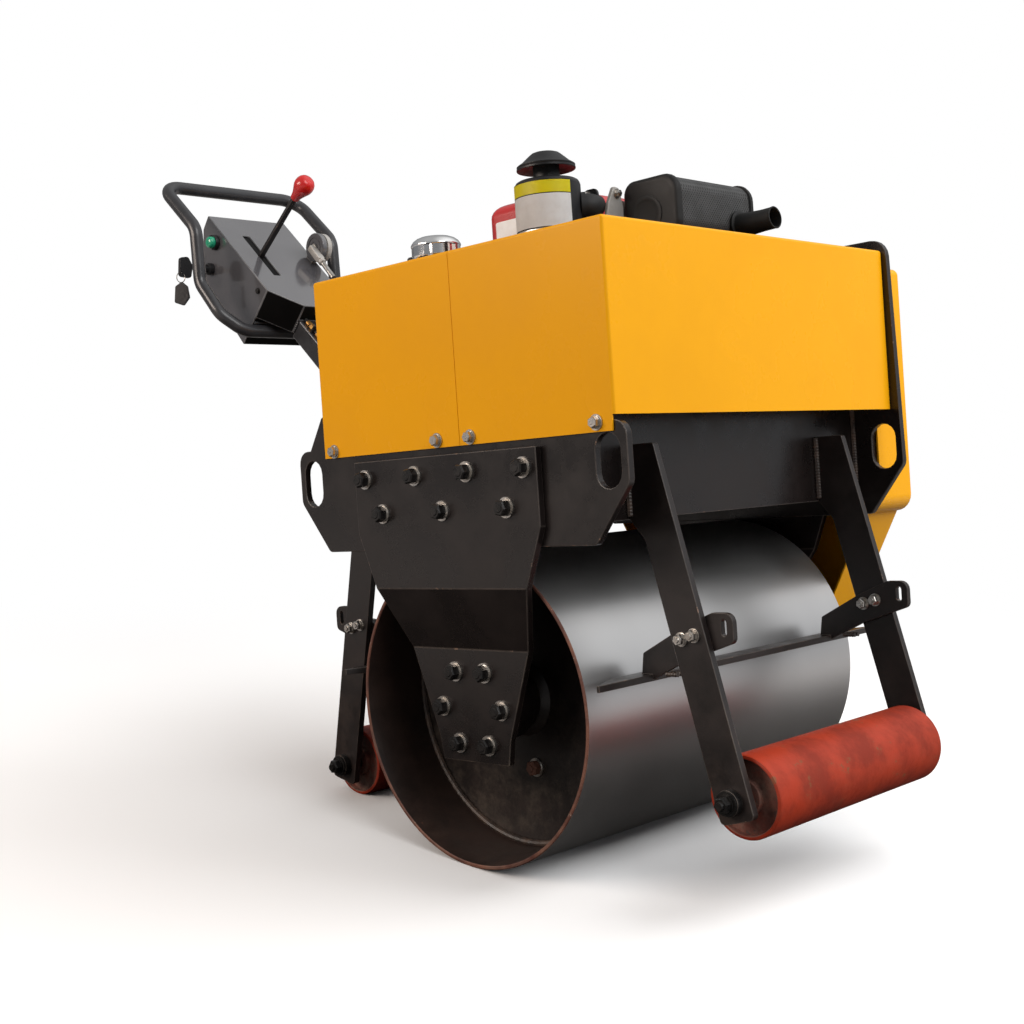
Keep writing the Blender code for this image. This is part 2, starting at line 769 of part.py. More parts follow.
def hood(paint, parent):
    right = RIGHT_PLATE_OUTER - GAP - HOOD_SHEET
    left = LEFT_PLATE_INNER - 2 * GAP
    front_path = [
        (HOOD_SPLIT + HOOD_SEAM / 2, right),
        (HOOD_FRONT, right),
        (HOOD_FRONT, left),
        (HOOD_FRONT - HOOD_RETURN, left),
    ]
    made = folded_cover("hood_front_cover", front_path, paint, parent)
    low = (HOOD_FRONT - HOOD_RETURN - CUT_OVER, right + HOOD_SHEET, HOOD_SIDE_BOTTOM - CUT_OVER)
    high = (HOOD_FRONT + CUT_OVER, left + CUT_OVER, HOOD_FRONT_BOTTOM)
    cut(made, node("hood_front_trim", box(low, high), None, parent))

    rear_path = [
        (HOOD_REAR + HOOD_RETURN, left),
        (HOOD_REAR, left),
        (HOOD_REAR, right),
        (HOOD_SPLIT - HOOD_SEAM / 2, right),
    ]
    made = folded_cover("hood_rear_cover", rear_path, paint, parent)
    low = (HOOD_REAR - CUT_OVER, right + HOOD_SHEET, HOOD_SIDE_BOTTOM - CUT_OVER)
    high = (HOOD_REAR + HOOD_RETURN + CUT_OVER, left + CUT_OVER, HORN_TOP + HOOD_HORN_GAP)
    cut(made, node("hood_rear_trim", box(low, high), None, parent))


def guard_outline(inset):
    """The belt guard: a wide top that tapers to a round foot at the drum's axle."""
    half = GUARD_HALF_WIDTH - inset
    radius = GUARD_FOOT_RADIUS - inset
    top = GUARD_TOP - inset
    reach = hypot(half, GUARD_SHOULDER - AXIS_Z)
    lift = degrees(atan2(GUARD_SHOULDER - AXIS_Z, half) - acos(radius / reach))
    foot = arc((0, AXIS_Z), radius, lift, -180 - lift, 16)
    corners = [(-half, GUARD_SHOULDER), (-half, top), (half, top), (half, GUARD_SHOULDER)]
    return rounded(corners, (0, 0.012, 0.012, 0), 3) + foot


def belt_guard(paint, parent):
    inner = LEFT_PLATE_OUTER + GAP
    outer = inner + GUARD_DEPTH
    made = node("belt_guard", prism([guard_outline(0)], inner, outer), paint, parent)
    pocket = prism([guard_outline(HOOD_SHEET)], inner - CUT_OVER, outer - HOOD_SHEET)
    cut(made, node("belt_guard_pocket", pocket, None, parent))


# ---------------------------------------------------------------- engine and tanks


def engine(paints, parent):
    low = (ENGINE_REAR, ENGINE_RIGHT, DECK_TOP + GAP)
    node("engine", box(low, (ENGINE_FRONT, ENGINE_LEFT, ENGINE_TOP)), paints["alloy"], parent)

    base = ENGINE_TOP + GAP
    size = Vector(FUEL_TANK_SIZE)
    low = Vector((*FUEL_TANK_CENTRE, base)) - Vector((size.x / 2, size.y / 2, 0))
    node("fuel_tank", soft_box(low, low + size, FUEL_TANK_ROUND), paints["red"], parent)
    profile = [(0, 0), (0.019, 0), (0.019, 0.010), (0.024, 0.010), (0.022, 0.022), (0, 0.022)]
    cap = turned(profile, 24, "Z")
    cap_place = (*FUEL_CAP_PLACE, base + size.z + GAP)
    node("fuel_cap", cap, paints["black"], parent, cap_place)

    can = CLEANER_RADIUS
    rise = CLEANER_RISE
    profile = [
        (0, 0),
        (can - 0.006, 0),
        (can - 0.006, 0.030),
        (can, 0.034),
        (can, rise - 0.004),
        (can - 0.005, rise),
        (CLEANER_NECK_RADIUS, rise),
        (CLEANER_NECK_RADIUS, rise + CLEANER_NECK),
        (0, rise + CLEANER_NECK),
    ]
    node("air_cleaner", turned(profile, 32, "Z"), paints["black"], parent, (*CLEANER_PLACE, base))
    profile = [
        (0, 0),
        (0.036, 0),
        (0.0478, -0.006),
        (0.0478, -0.003),
        (0.036, 0.006),
        (0.026, 0.017),
        (0.012, 0.021),
        (0, 0.022),
    ]
    hat_place = (*CLEANER_PLACE, base + rise + CLEANER_NECK + GAP)
    node("precleaner_cap", turned(profile, 32, "Z"), paints["black"], parent, hat_place)

    corner = Vector(MUFFLER_CORNER)
    cover_low = (ROCKER_REAR, CLEANER_PLACE[1] + can + ROCKER_GAP, base)
    cover_high = (corner.x - 0.0005 - GAP, ROCKER_LEFT, base + ROCKER_RISE)
    cover = soft_box(cover_low, cover_high, ROCKER_ROUND)
    node("rocker_cover", cover, paints["alloy"], parent)
    port = Vector((*CLEANER_PLACE, base + rise - ELBOW_DROP))
    way = Vector((1, 1, 0)).normalized()
    bend = port + way * (can + ELBOW_REACH)
    path = [port + way * (can + GAP), bend, Vector((bend.x, cover_low[1] - GAP, port.z))]
    tube("intake_elbow", path, ELBOW_RADIUS, paints["black"], parent)

    body = soft_box(corner, corner + Vector(MUFFLER_SIZE), MUFFLER_ROUND)
    made = node("muffler", body, paints["black"], parent)
    foot_top = corner.z + MUFFLER_FOOT_SINK
    foot = rod(MUFFLER_FOOT_RADIUS, (*MUFFLER_FOOT_PLACE, base), (*MUFFLER_FOOT_PLACE, foot_top))
    join(made, node("muffler_foot", foot, None, parent))

    start = Vector((corner.x + MUFFLER_SIZE[0] + GAP, TAILPIPE_Y, corner.z + TAILPIPE_RISE))
    end = Vector((TAILPIPE_END, start.y, start.z))
    made = node("tailpipe", rod(TAILPIPE_RADIUS, start, end, 24), paints["black"], parent)
    floor = start + Vector((3 * TAILPIPE_WALL, 0, 0))
    mouth = end + Vector((CUT_OVER, 0, 0))
    bore = rod(TAILPIPE_RADIUS - TAILPIPE_WALL, floor, mouth, 24)
    cut(made, node("tailpipe_bore", bore, None, parent))


def oil_tank(paints, parent):
    rear = HOOD_REAR + HOOD_SHEET + OIL_TANK_REAR_GAP
    half = -RIGHT_PLATE_INNER - OIL_TANK_SIDE_GAP
    low = (rear, -half, PLATE_TOP + GAP)
    high = (OIL_TANK_FRONT, half, OIL_TANK_TOP)
    node("hydraulic_tank", box(low, high), paints["frame"], parent)
    profile = [
        (0, 0),
        (0.030, 0),
        (0.030, 0.005),
        (0.021, 0.005),
        (0.021, 0.050),
        (0.036, 0.052),
        (0.036, 0.080),
        (0.028, 0.087),
        (0, 0.087),
    ]
    place = (*BREATHER_PLACE, OIL_TANK_TOP + GAP)
    node("tank_breather", turned(profile, 32, "Z"), paints["chrome"], parent, place)


# ---------------------------------------------------------------- handle


def pivot_mount(paint, parent):
    """Two ears on a base plate behind the rear beam, with the pin the handle turns on."""
    front = -(BEAM_FACE_X + GAP)
    low = (front - PLATE, -MOUNT_HALF_WIDTH, BEAM_BOTTOM + MOUNT_RISE)
    base = box(low, (front, MOUNT_HALF_WIDTH, MOUNT_TOP))
    made = node("handle_mount", base, paint, parent)
    inner = ARM_WIDTH / 2 + ARM_WALL_GAP
    outer = inner + EAR_THICKNESS
    outline = [(front - 0.002, height) for height in EAR_FOOT] + arc(PIVOT, EAR_RADIUS, 105, 255, 8)
    hole = circle(PIVOT, PIVOT_RADIUS + GAP, 20)
    for side in (-1, 1):
        faces = sorted((side * inner, side * outer))
        join(made, node("handle_mount_ear", prism([outline, hole], *faces), None, parent))
    drop = ARM_DEPTH / 2 + STOP_RADIUS + STOP_GAP
    stop_place = Vector(PIVOT) + arm_way() * STOP_ALONG - arm_up() * drop
    across = (inner + outer) / 2
    ends = [(stop_place.x, side * across, stop_place.y) for side in (-1, 1)]
    join(made, node("handle_mount_stop", rod(STOP_RADIUS, *ends, 16), None, parent))

    head = outer + GAP
    profile = [
        (0, -head - PIN_HEAD),
        (PIN_HEAD_RADIUS, -head - PIN_HEAD),
        (PIN_HEAD_RADIUS, -head),
        (PIVOT_RADIUS, -head),
        (PIVOT_RADIUS, head),
        (PIN_HEAD_RADIUS, head),
        (PIN_HEAD_RADIUS, head + PIN_HEAD),
        (0, head + PIN_HEAD),
    ]
    node("handle_pin", turned(profile, 20), paint, parent, (PIVOT[0], 0, PIVOT[1]))


def nose_front():
    """Where the arm meets the console: the middle of its end, as X and Z."""
    place = on_face(NOSE_LENGTH + GAP, 0, NOSE_DEPTH - ARM_DEPTH / 2 + ARM_SINK)
    return Vector((place.x, place.z))


def arm_way():
    """The direction of the handle's arm, from its pivot up to the console, as X and Z."""
    return (nose_front() - Vector(PIVOT)).normalized()


def arm_up():
    """Square to the arm and upward, as X and Z."""
    way = arm_way()
    return Vector((way.y, -way.x))


def handle_arm(paint, parent):
    way = arm_way()
    half = ARM_DEPTH / 2
    end = nose_front() - Vector(PIVOT)
    turn = degrees(atan2(way.y, way.x))
    foot = arc((0, 0), half, turn + 90, turn + 270, 10)
    into = Vector((INTO.x, INTO.z))
    spread = half / abs(into.dot(arm_up()))
    outline = foot + [tuple(end - into * spread), tuple(end + into * spread)]
    hole = circle((0, 0), PIVOT_RADIUS + GAP, 20)
    shape = prism([outline, hole], -ARM_WIDTH / 2, ARM_WIDTH / 2)
    made = node("handle_arm", shape, paint, parent)

    width = CABLE_SLOT_WIDTH / 2
    frame = Matrix(((way.x, 0, way.y), (0, 1, 0), (arm_up().x, 0, arm_up().y))).transposed()
    for side in (-1, 1):
        across = side * CABLE_ACROSS
        low = (CABLE_SLOT_START, across - width, half - CABLE_SLOT_DEPTH)
        slot = box(low, (CABLE_SLOT_END, across + width, half + CUT_OVER))
        bmesh.ops.transform(slot, matrix=frame.to_4x4(), verts=slot.verts)
        cut(made, node("handle_arm_slot", slot, None, parent))


def cables(paint, parent):
    """Two control cables on the arm, which leave the console's nose and dive into the arm."""
    way, up = arm_way(), arm_up()
    height = ARM_DEPTH / 2 + CABLE_RADIUS + GAP
    end = nose_front() - Vector(PIVOT)
    reach = end.dot(way) - height * abs(way.dot(Vector((INTO.x, INTO.z)))) - 2 * GAP
    points = [(reach, height), (CABLE_SLOT_END, height)]
    for step in range(1, 7):
        angle = CABLE_DIVE * step / 6
        drop = CABLE_BEND * (1 - cos(angle))
        points.append((CABLE_SLOT_END - CABLE_BEND * sin(angle), height - drop))
    last = points[-1]
    run = last[0] - CABLE_END
    points.append((CABLE_END, last[1] - run * tan(CABLE_DIVE)))
    for side, name in ((-1, "drive_cable"), (1, "throttle_cable")):
        path = []
        for along, lift in points:
            place = way * along + up * lift
            path.append((place.x, side * CABLE_ACROSS, place.y))
        tube(name, path, CABLE_RADIUS, paint, parent)


def console(paint, parent):
    """The control box: a sloping face with a pointed nose, and a back that widens downward."""
    half = CONSOLE_HALF_WIDTH
    pivot = Vector((PIVOT[0], 0, PIVOT[1]))
    side = [(0, 0), (FACE_LENGTH, 0), (FACE_LENGTH, CONSOLE_DEPTH)] + list(CONSOLE_BACK[::-1])
    outline = []
    for along, depth in side:
        place = on_face(along, 0, depth) - pivot
        outline.append((place.x, place.z))
    made = node("console", prism([outline], -half, half), paint, parent)

    back = -NOSE_OVERLAP
    reach = NOSE_LENGTH - FACE_LENGTH
    plan = [(back, -half), (0, -half), (reach, -NOSE_HALF_WIDTH)]
    plan += [(reach, NOSE_HALF_WIDTH), (0, half), (back, half)]
    nose = bmesh.new()
    rows = []
    for depth in (0.0, NOSE_DEPTH):
        row = [on_face(FACE_LENGTH + along, across, depth) - pivot for along, across in plan]
        rows.append([nose.verts.new(point) for point in row])
    for i in range(len(plan)):
        nose.faces.new((rows[0][i - 1], rows[0][i], rows[1][i], rows[1][i - 1]))
    nose.faces.new(rows[0])
    nose.faces.new(rows[1])
    join(made, node("console_nose", nose, None, parent))

    low = (SLOT_START, LEVER_Y - SLOT_WIDTH / 2, -CUT_OVER)
    high = (SLOT_END, LEVER_Y + SLOT_WIDTH / 2, SLOT_DEPTH)
    slot = box(low, high)
    frame = Matrix((ALONG, (0, 1, 0), INTO)).transposed().to_4x4()
    bmesh.ops.transform(slot, matrix=frame, verts=slot.verts)
    cut(made, node("console_slot", slot, None, parent, on_face(0, 0) - pivot))


def handle_loop(paint, parent):
    """One closed tube: grip bar, two bent sides, and a cross bar welded under the console."""
    cross = on_face(FACE_LENGTH, 0, LOOP_CROSS_DEPTH) + ALONG * (TUBE_RADIUS + 2 * GAP)
    across = [LOOP_HALF_WIDTH] * 3 + [LOOP_HALF_WIDTH - LOOP_NARROWING]
    side = []
    for (x, z), y in zip((LOOP_GRIP, LOOP_SHOULDER, LOOP_ELBOW, LOOP_FOOT), across):
        side.append(Vector((FACE_ORIGIN[0] + x, y, FACE_ORIGIN[1] + z)))
    side.append(Vector((cross.x, CONSOLE_HALF_WIDTH + LOOP_CROSS_REACH, cross.z)))
    pivot = Vector((PIVOT[0], 0, PIVOT[1]))
    near = [Vector((corner.x, -corner.y, corner.z)) - pivot for corner in side]
    far = [corner - pivot for corner in side[::-1]]
    path = fillet_path(near + far, LOOP_BEND, closed=True)
    tube("handle_loop", path, TUBE_RADIUS, paint, parent, closed=True)


def side_place(place, depth):
    """A point on the console's right side, from its face's rear top edge, and how far out."""
    side = -CONSOLE_HALF_WIDTH - depth
    return Vector((FACE_ORIGIN[0] + place[0] - PIVOT[0], side, FACE_ORIGIN[1] + place[1] - PIVOT[1]))


def controls(paints, parent):
    pivot = Vector((PIVOT[0], 0, PIVOT[1]))
    start = on_face(LEVER_ALONG, LEVER_Y, SLOT_DEPTH - GAP) - pivot
    way = Vector((LEVER_WAY[0], 0, LEVER_WAY[1])).normalized()
    tip = start + way * LEVER_LENGTH
    lever = rod(LEVER_RADIUS, start + way * LEVER_LIFT, tip, 16)
    node("drive_lever", lever, paints["black"], parent)

    profile = [(0, 0), (0.009, 0), (0.0105, 0.010), (0.0165, 0.027), (KNOB_RADIUS, 0.038)]
    profile += [(0.0165, 0.049), (0.010, 0.056), (0, 0.0575)]
    knob = turned(profile, 24, "Z")
    turn = Vector((0, 0, 1)).rotation_difference(way).to_matrix().to_4x4()
    bmesh.ops.transform(knob, matrix=turn, verts=knob.verts)
    node("lever_knob", knob, paints["red"], parent, tip + way * GAP)

    deep = -BEZEL_DEPTH
    profile = [(0, 0), (BEZEL_RADIUS, 0), (BEZEL_RADIUS, deep), (0, deep)]
    node("button_bezel", turned(profile, 24), paints["black"], parent, side_place(BUTTON_PLACE, GAP))
    wide = BUTTON_RADIUS
    profile = [(0, 0), (wide, 0), (wide, -0.010), (wide - 0.0025, -0.0125), (0, -0.0125)]
    place = side_place(BUTTON_PLACE, BEZEL_DEPTH + 2 * GAP)
    node("start_button", turned(profile, 24), paints["green"], parent, place)
    profile = [(0, 0), (0.013, 0), (0.013, -0.012), (0.009, -0.014), (0.009, -0.026), (0, -0.026)]
    node("key_switch", turned(profile, 20), paints["black"], parent, side_place(KEY_PLACE, GAP))

    centre = on_face(THROTTLE_ALONG, THROTTLE_Y, -THROTTLE_RADIUS - THROTTLE_LIFT) - pivot
    disc = rod(THROTTLE_RADIUS, centre, centre + Vector((0, THROTTLE_THICKNESS, 0)), 28)
    made = node("throttle_disc", disc, paints["grey"], parent)
    inset = (THROTTLE_THICKNESS - THROTTLE_FOOT[1]) / 2
    foot_low = on_face(THROTTLE_ALONG, THROTTLE_Y + inset, -GAP) - pivot
    half, deep, tall = THROTTLE_FOOT
    foot = box((-half, 0, 0), (half, deep, tall))
    frame = Matrix((ALONG, (0, 1, 0), -INTO)).transposed().to_4x4()
    bmesh.ops.transform(foot, matrix=Matrix.Translation(foot_low) @ frame, verts=foot.verts)
    join(made, node("throttle_foot", foot, None, parent))
    rod_y = THROTTLE_Y - GAP - THROTTLE_ROD_RADIUS
    ends = [on_face(THROTTLE_ALONG + along, rod_y, -lift) - pivot for along, lift in THROTTLE_ROD]
    node("throttle_rod", rod(THROTTLE_ROD_RADIUS, *ends, 16), paints["zinc"], parent)


# ---------------------------------------------------------------- the whole machine


def stand_on_floor(root):
    """Moves the machine so that the origin is at the middle of its footprint, on the floor."""
    bpy.context.view_layer.update()
    graph = bpy.context.evaluated_depsgraph_get()
    points = []
    for obj in bpy.context.scene.objects:
        if obj.type in ("MESH", "CURVE") and not obj.hide_render:
            seen = obj.evaluated_get(graph)
            mesh = seen.to_mesh()
            points += [seen.matrix_world @ vert.co for vert in mesh.vertices]
            seen.to_mesh_clear()
    low = [min(point[axis] for point in points) for axis in range(3)]
    high = [max(point[axis] for point in points) for axis in range(3)]
    shift = Vector(((low[0] + high[0]) / 2, (low[1] + high[1]) / 2, low[2]))
    root.location -= shift
    bpy.context.view_layer.update()


def build():
    clear_scene()
    paints = {
        "yellow": material("hood_yellow", (0.86, 0.43, 0.01), 0.35),
        "frame": material("frame_black", (0.018, 0.016, 0.015), 0.45),
        "black": material("matte_black", (0.02, 0.02, 0.02), 0.5),
        "steel": material("drum_steel", (0.45, 0.44, 0.42), 0.35, 1.0),
        "oxide": material("roller_red", (0.40, 0.06, 0.03), 0.6),
        "red": material("gloss_red", (0.62, 0.02, 0.02), 0.25),
        "green": material("button_green", (0.01, 0.25, 0.13), 0.3),
        "grey": material("console_grey", (0.12, 0.12, 0.125), 0.35),
        "tube": material("tube_grey", (0.05, 0.05, 0.053), 0.3),
        "alloy": material("cast_alloy", (0.35, 0.35, 0.34), 0.5, 1.0),
        "chrome": material("chrome", (0.75, 0.75, 0.75), 0.1, 1.0),
        "zinc": material("zinc", (0.6, 0.6, 0.6), 0.3, 1.0),
    }
    root = empty("machine", turn=-LEAN)
    level = LEAN  # turns a wheel's facets back to the floor
    drum_axis = empty("drum_axis", root, (0, 0, AXIS_Z), level)
    front_axis = empty("front_roller_axis", root, (FRONT_AXLE[0], 0, FRONT_AXLE[1]), level)
    rear_axis = empty("rear_roller_axis", root, (REAR_AXLE[0], 0, REAR_AXLE[1]), level)
    handle_axis = empty("handle_axis", root, (PIVOT[0], 0, PIVOT[1]))

    drum(paints, drum_axis)
    roller("front_roller", paints["oxide"], front_axis)
    roller("rear_roller", paints["oxide"], rear_axis)
    roller_shaft("front_roller_shaft", FRONT_AXLE, paints["zinc"], root)
    roller_shaft("rear_roller_shaft", REAR_AXLE, paints["zinc"], root)

    side_plates(paints["frame"], root)
    cross_members(paints["frame"], root)
    legs(paints["frame"], root)
    for place, axle, angle, end in LEGS:
        scraper(place, axle, angle, end, paints["frame"], root)
    drum_carriers(paints["frame"], root)
    hood(paints["yellow"], root)
    belt_guard(paints["yellow"], root)
    engine(paints, root)
    oil_tank(paints, root)

    pivot_mount(paints["frame"], root)
    handle_arm(paints["tube"], handle_axis)
    cables(paints["black"], handle_axis)
    console(paints["grey"], handle_axis)
    handle_loop(paints["tube"], handle_axis)
    controls(paints, handle_axis)
    stand_on_floor(root)


build()
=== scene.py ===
"""Studio scene of a walk-behind road roller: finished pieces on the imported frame, soft light, camera.

Sizes are in metres. Pieces are drawn in the machine's own level frame, with +X forward, +Y to its
left and the drum's lowest line at z = 0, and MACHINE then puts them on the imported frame, where the
parked machine leans back on its rear roller.
"""

import json
from math import acos, atan2, cos, degrees, hypot, pi, radians, sin, tan

import bmesh
import bpy
from mathutils import Matrix, Vector
from mathutils.geometry import delaunay_2d_cdt


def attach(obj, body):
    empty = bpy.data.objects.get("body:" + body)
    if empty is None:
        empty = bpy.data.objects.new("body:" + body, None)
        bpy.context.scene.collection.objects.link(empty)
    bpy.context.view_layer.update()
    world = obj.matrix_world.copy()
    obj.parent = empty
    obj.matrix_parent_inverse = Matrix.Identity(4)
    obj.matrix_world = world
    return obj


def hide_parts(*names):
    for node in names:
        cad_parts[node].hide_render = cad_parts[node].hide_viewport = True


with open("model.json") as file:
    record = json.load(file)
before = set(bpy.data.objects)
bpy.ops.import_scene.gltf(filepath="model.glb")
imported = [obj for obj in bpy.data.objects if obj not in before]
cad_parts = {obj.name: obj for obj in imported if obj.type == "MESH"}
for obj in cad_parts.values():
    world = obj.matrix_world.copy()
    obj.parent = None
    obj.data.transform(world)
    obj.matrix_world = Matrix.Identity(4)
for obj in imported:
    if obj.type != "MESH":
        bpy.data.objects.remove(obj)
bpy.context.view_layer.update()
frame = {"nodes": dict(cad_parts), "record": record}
JOINTS = {joint["name"]: Vector(joint["pos_m"]) for joint in frame["record"]["behaviour"]["joints"]}
BODY_OF = {}
for body_name, members in frame["record"]["behaviour"]["bodies"].items():
    for member in members:
        BODY_OF[member] = body_name
SLOT_OF = {part["node"]: part["material_slot"] for part in frame["record"]["subparts"]}

# ---------------------------------------------------------------- the machine's own frame

DRUM_AXIS_Z = 0.250
REAR_AXLE = Vector((-0.440, 0.107))
FRONT_AXLE = Vector((0.424, 0.131))
PIVOT = Vector((-0.400, 0, 0.573))


def machine_frame():
    """Where the machine's level frame lies, from the drum's and the rear roller's joints."""
    drum, roller = JOINTS["drum_turn"], JOINTS["rear_roller_turn"]
    drawn = atan2(REAR_AXLE.y - DRUM_AXIS_Z, REAR_AXLE.x)
    parked = atan2(roller.z - drum.z, roller.x - drum.x)
    lean = Matrix.Rotation(drawn - parked, 4, "Y")
    return Matrix.Translation(drum) @ lean @ Matrix.Translation((0, 0, -DRUM_AXIS_Z))


MACHINE = machine_frame()
TURN = MACHINE.to_3x3()


# ---------------------------------------------------------------- nodes


def set_input(tree, socket, value):
    """Links a socket to another node's output, or gives it a plain value."""
    if isinstance(value, bpy.types.NodeSocket):
        tree.links.new(value, socket)
    else:
        socket.default_value = value


def new_node(tree, kind, inputs=None, **settings):
    """A node with its settings, whose inputs are plain values or other nodes' outputs."""
    made = tree.nodes.new(kind)
    for label, value in settings.items():
        setattr(made, label, value)
    for label, value in (inputs or {}).items():
        set_input(tree, made.inputs[label], value)
    return made


def maths(tree, operation, first, second=None, clamp=False):
    values = {0: first} if second is None else {0: first, 1: second}
    return new_node(tree, "ShaderNodeMath", values, operation=operation, use_clamp=clamp).outputs[0]


def smooth_step(tree, value, low, high, least=0.0, most=1.0):
    inputs = {"Value": value, "From Min": low, "From Max": high, "To Min": least, "To Max": most}
    made = new_node(tree, "ShaderNodeMapRange", inputs, interpolation_type="SMOOTHSTEP")
    return made.outputs["Result"]


def mix_colour(tree, amount, first, second):
    first, second = ((*value, 1) if isinstance(value, tuple) else value for value in (first, second))
    inputs = {"Factor": amount, "A": first, "B": second}
    return new_node(tree, "ShaderNodeMix", inputs, data_type="RGBA").outputs["Result"]


def coordinates(tree, kind="Object"):
    return new_node(tree, "ShaderNodeTexCoord").outputs[kind]


def axes_of(tree, vector):
    return new_node(tree, "ShaderNodeSeparateXYZ", {0: vector}).outputs


# ---------------------------------------------------------------- camera, light and floor

CAMERA_PLACE = (1.9122, -1.9170, 0.7601)
CAMERA_LOOK = (-0.69968, 0.70850, -0.09212)
CAMERA_ROLL = radians(0.47)
CAMERA_LENS = 50.4
STUDIO_MIDDLE = (0.2, 0.0, 0.5)
SUN_WAY = Vector((-0.80, 0.16, -0.58))
SKY_LOW, SKY_HIGH = (0.42, 0.43, 0.45, 1), (1, 1, 1, 1)
BRIGHT_SIDE = Vector((0.62, 0.55, 0.56))
FLOOR_SIZE = 30.0
FLOOR_FADE = (0.7, 2.6)  # how far out the pale floor starts and ends its fade to plain white


def add_camera():
    data = bpy.data.cameras.new("studio_camera")
    data.lens = CAMERA_LENS
    data.sensor_width = 36.0
    camera = bpy.data.objects.new("studio_camera", data)
    bpy.context.scene.collection.objects.link(camera)
    turn = Vector(CAMERA_LOOK).to_track_quat("-Z", "Y").to_matrix().to_4x4()
    camera.matrix_world = (
        Matrix.Translation(CAMERA_PLACE) @ turn @ Matrix.Rotation(CAMERA_ROLL, 4, "Z")
    )
    bpy.context.scene.camera = camera


def add_light(name, place, size, power, colour=(1, 1, 1), mirrored=True):
    data = bpy.data.lights.new(name, "AREA")
    data.shape = "RECTANGLE"
    data.size, data.size_y = size
    data.energy = power
    data.color = colour
    light = bpy.data.objects.new(name, data)
    light.visible_glossy = mirrored
    bpy.context.scene.collection.objects.link(light)
    look = (Vector(STUDIO_MIDDLE) - Vector(place)).to_track_quat("-Z", "Y").to_matrix().to_4x4()
    light.matrix_world = Matrix.Translation(place) @ look


def add_world():
    """Soft light from all round, brighter above and on one side, and plain white to the camera."""
    world = bpy.data.worlds.new("studio")
    world.use_nodes = True
    tree = world.node_tree
    tree.nodes.clear()
    place = coordinates(tree, "Generated")
    ramp = new_node(tree, "ShaderNodeValToRGB", {"Fac": axes_of(tree, place)["Z"]})
    low, high = ramp.color_ramp.elements
    low.position, low.color = 0.0, SKY_LOW
    high.position, high.color = 0.9, SKY_HIGH
    facing = new_node(
        tree, "ShaderNodeVectorMath", {0: place, 1: BRIGHT_SIDE.normalized()}, operation="DOT_PRODUCT"
    )
    bright = smooth_step(tree, facing.outputs["Value"], 0.35, 0.95, 0.40, 1.05)
    around = new_node(
        tree, "ShaderNodeBackground", {"Color": ramp.outputs["Color"], "Strength": bright}
    )
    seen = new_node(tree, "ShaderNodeBackground", {"Color": (1, 1, 1, 1), "Strength": 1.0})
    path = new_node(tree, "ShaderNodeLightPath").outputs["Is Camera Ray"]
    mix = new_node(tree, "ShaderNodeMixShader", {0: path, 1: around.outputs[0], 2: seen.outputs[0]})
    new_node(tree, "ShaderNodeOutputWorld", {"Surface": mix.outputs[0]})
    bpy.context.scene.world = world


def add_floor():
    """A pale floor that takes soft shadows near the machine and fades to white further out; to
    reflections and bounced light it is dark near the machine, as painted shade.
    """
    shape = bmesh.new()
    bmesh.ops.create_grid(shape, x_segments=8, y_segments=8, size=FLOOR_SIZE)
    mesh = bpy.data.meshes.new("floor")
    shape.to_mesh(mesh)
    shape.free()
    floor = bpy.data.objects.new("floor", mesh)
    bpy.context.scene.collection.objects.link(floor)
    paper = bpy.data.materials.new("floor_paper")
    paper.use_nodes = True
    tree = paper.node_tree
    seen = new_node(tree, "ShaderNodeLightPath").outputs["Is Camera Ray"]
    far = new_node(tree, "ShaderNodeVectorMath", {0: coordinates(tree)}, operation="LENGTH")
    fade = smooth_step(tree, far.outputs["Value"], *FLOOR_FADE)
    # Seen in reflections and bounced light, the floor is near-black close to the machine and mid grey
    # further out: painted shade in the reflections of the drum and frame.
    mirrored = mix_colour(tree, fade, (0.045, 0.042, 0.040), (0.42, 0.40, 0.39))
    shader = tree.nodes["Principled BSDF"]
    set_input(tree, shader.inputs["Base Color"], mix_colour(tree, seen, mirrored, (0.95, 0.95, 0.95)))
    shader.inputs["Roughness"].default_value = 0.9
    shader.inputs["Specular IOR Level"].default_value = 0.1
    glow = new_node(tree, "ShaderNodeEmission")
    amount = maths(tree, "MULTIPLY", fade, seen)
    blend = new_node(
        tree, "ShaderNodeMixShader", {0: amount, 1: shader.outputs[0], 2: glow.outputs[0]}
    )
    tree.links.new(blend.outputs[0], tree.nodes["Material Output"].inputs["Surface"])
    mesh.materials.append(paper)


def add_studio():
    add_world()
    sun = bpy.data.lights.new("even_key", "SUN")
    sun.energy = 0.95
    sun.angle = radians(30)
    lamp = bpy.data.objects.new("even_key", sun)
    bpy.context.scene.collection.objects.link(lamp)
    lamp.matrix_world = SUN_WAY.to_track_quat("-Z", "Y").to_matrix().to_4x4()
    add_light("front_panel", (2.7, 2.3, 3.4), (3.6, 3.2), 165, mirrored=False)
    add_light("side_panel", (-1.6, -4.2, 2.3), (3.2, 1.4), 130, (1.0, 0.86, 0.76))
    add_floor()
    bpy.context.scene.view_settings.view_transform = "Standard"
    bpy.context.scene.view_settings.look = "None"


add_camera()
add_studio()


# ---------------------------------------------------------------- shared surface effects


def new_group(name, inputs, outputs):
    tree = bpy.data.node_groups.new(name, "ShaderNodeTree")
    for label, value in inputs:
        socket = tree.interface.new_socket(label, in_out="INPUT", socket_type="NodeSocketFloat")
        socket.default_value = value
    for label in outputs:
        tree.interface.new_socket(label, in_out="OUTPUT", socket_type="NodeSocketFloat")
    return tree, tree.nodes.new("NodeGroupInput"), tree.nodes.new("NodeGroupOutput")


def noise_at(tree, scale, detail=4.0, roughness=0.6, vector=None):
    inputs = {"Scale": scale, "Detail": detail, "Roughness": roughness}
    inputs["Vector"] = coordinates(tree) if vector is None else vector
    return new_node(tree, "ShaderNodeTexNoise", inputs).outputs["Fac"]


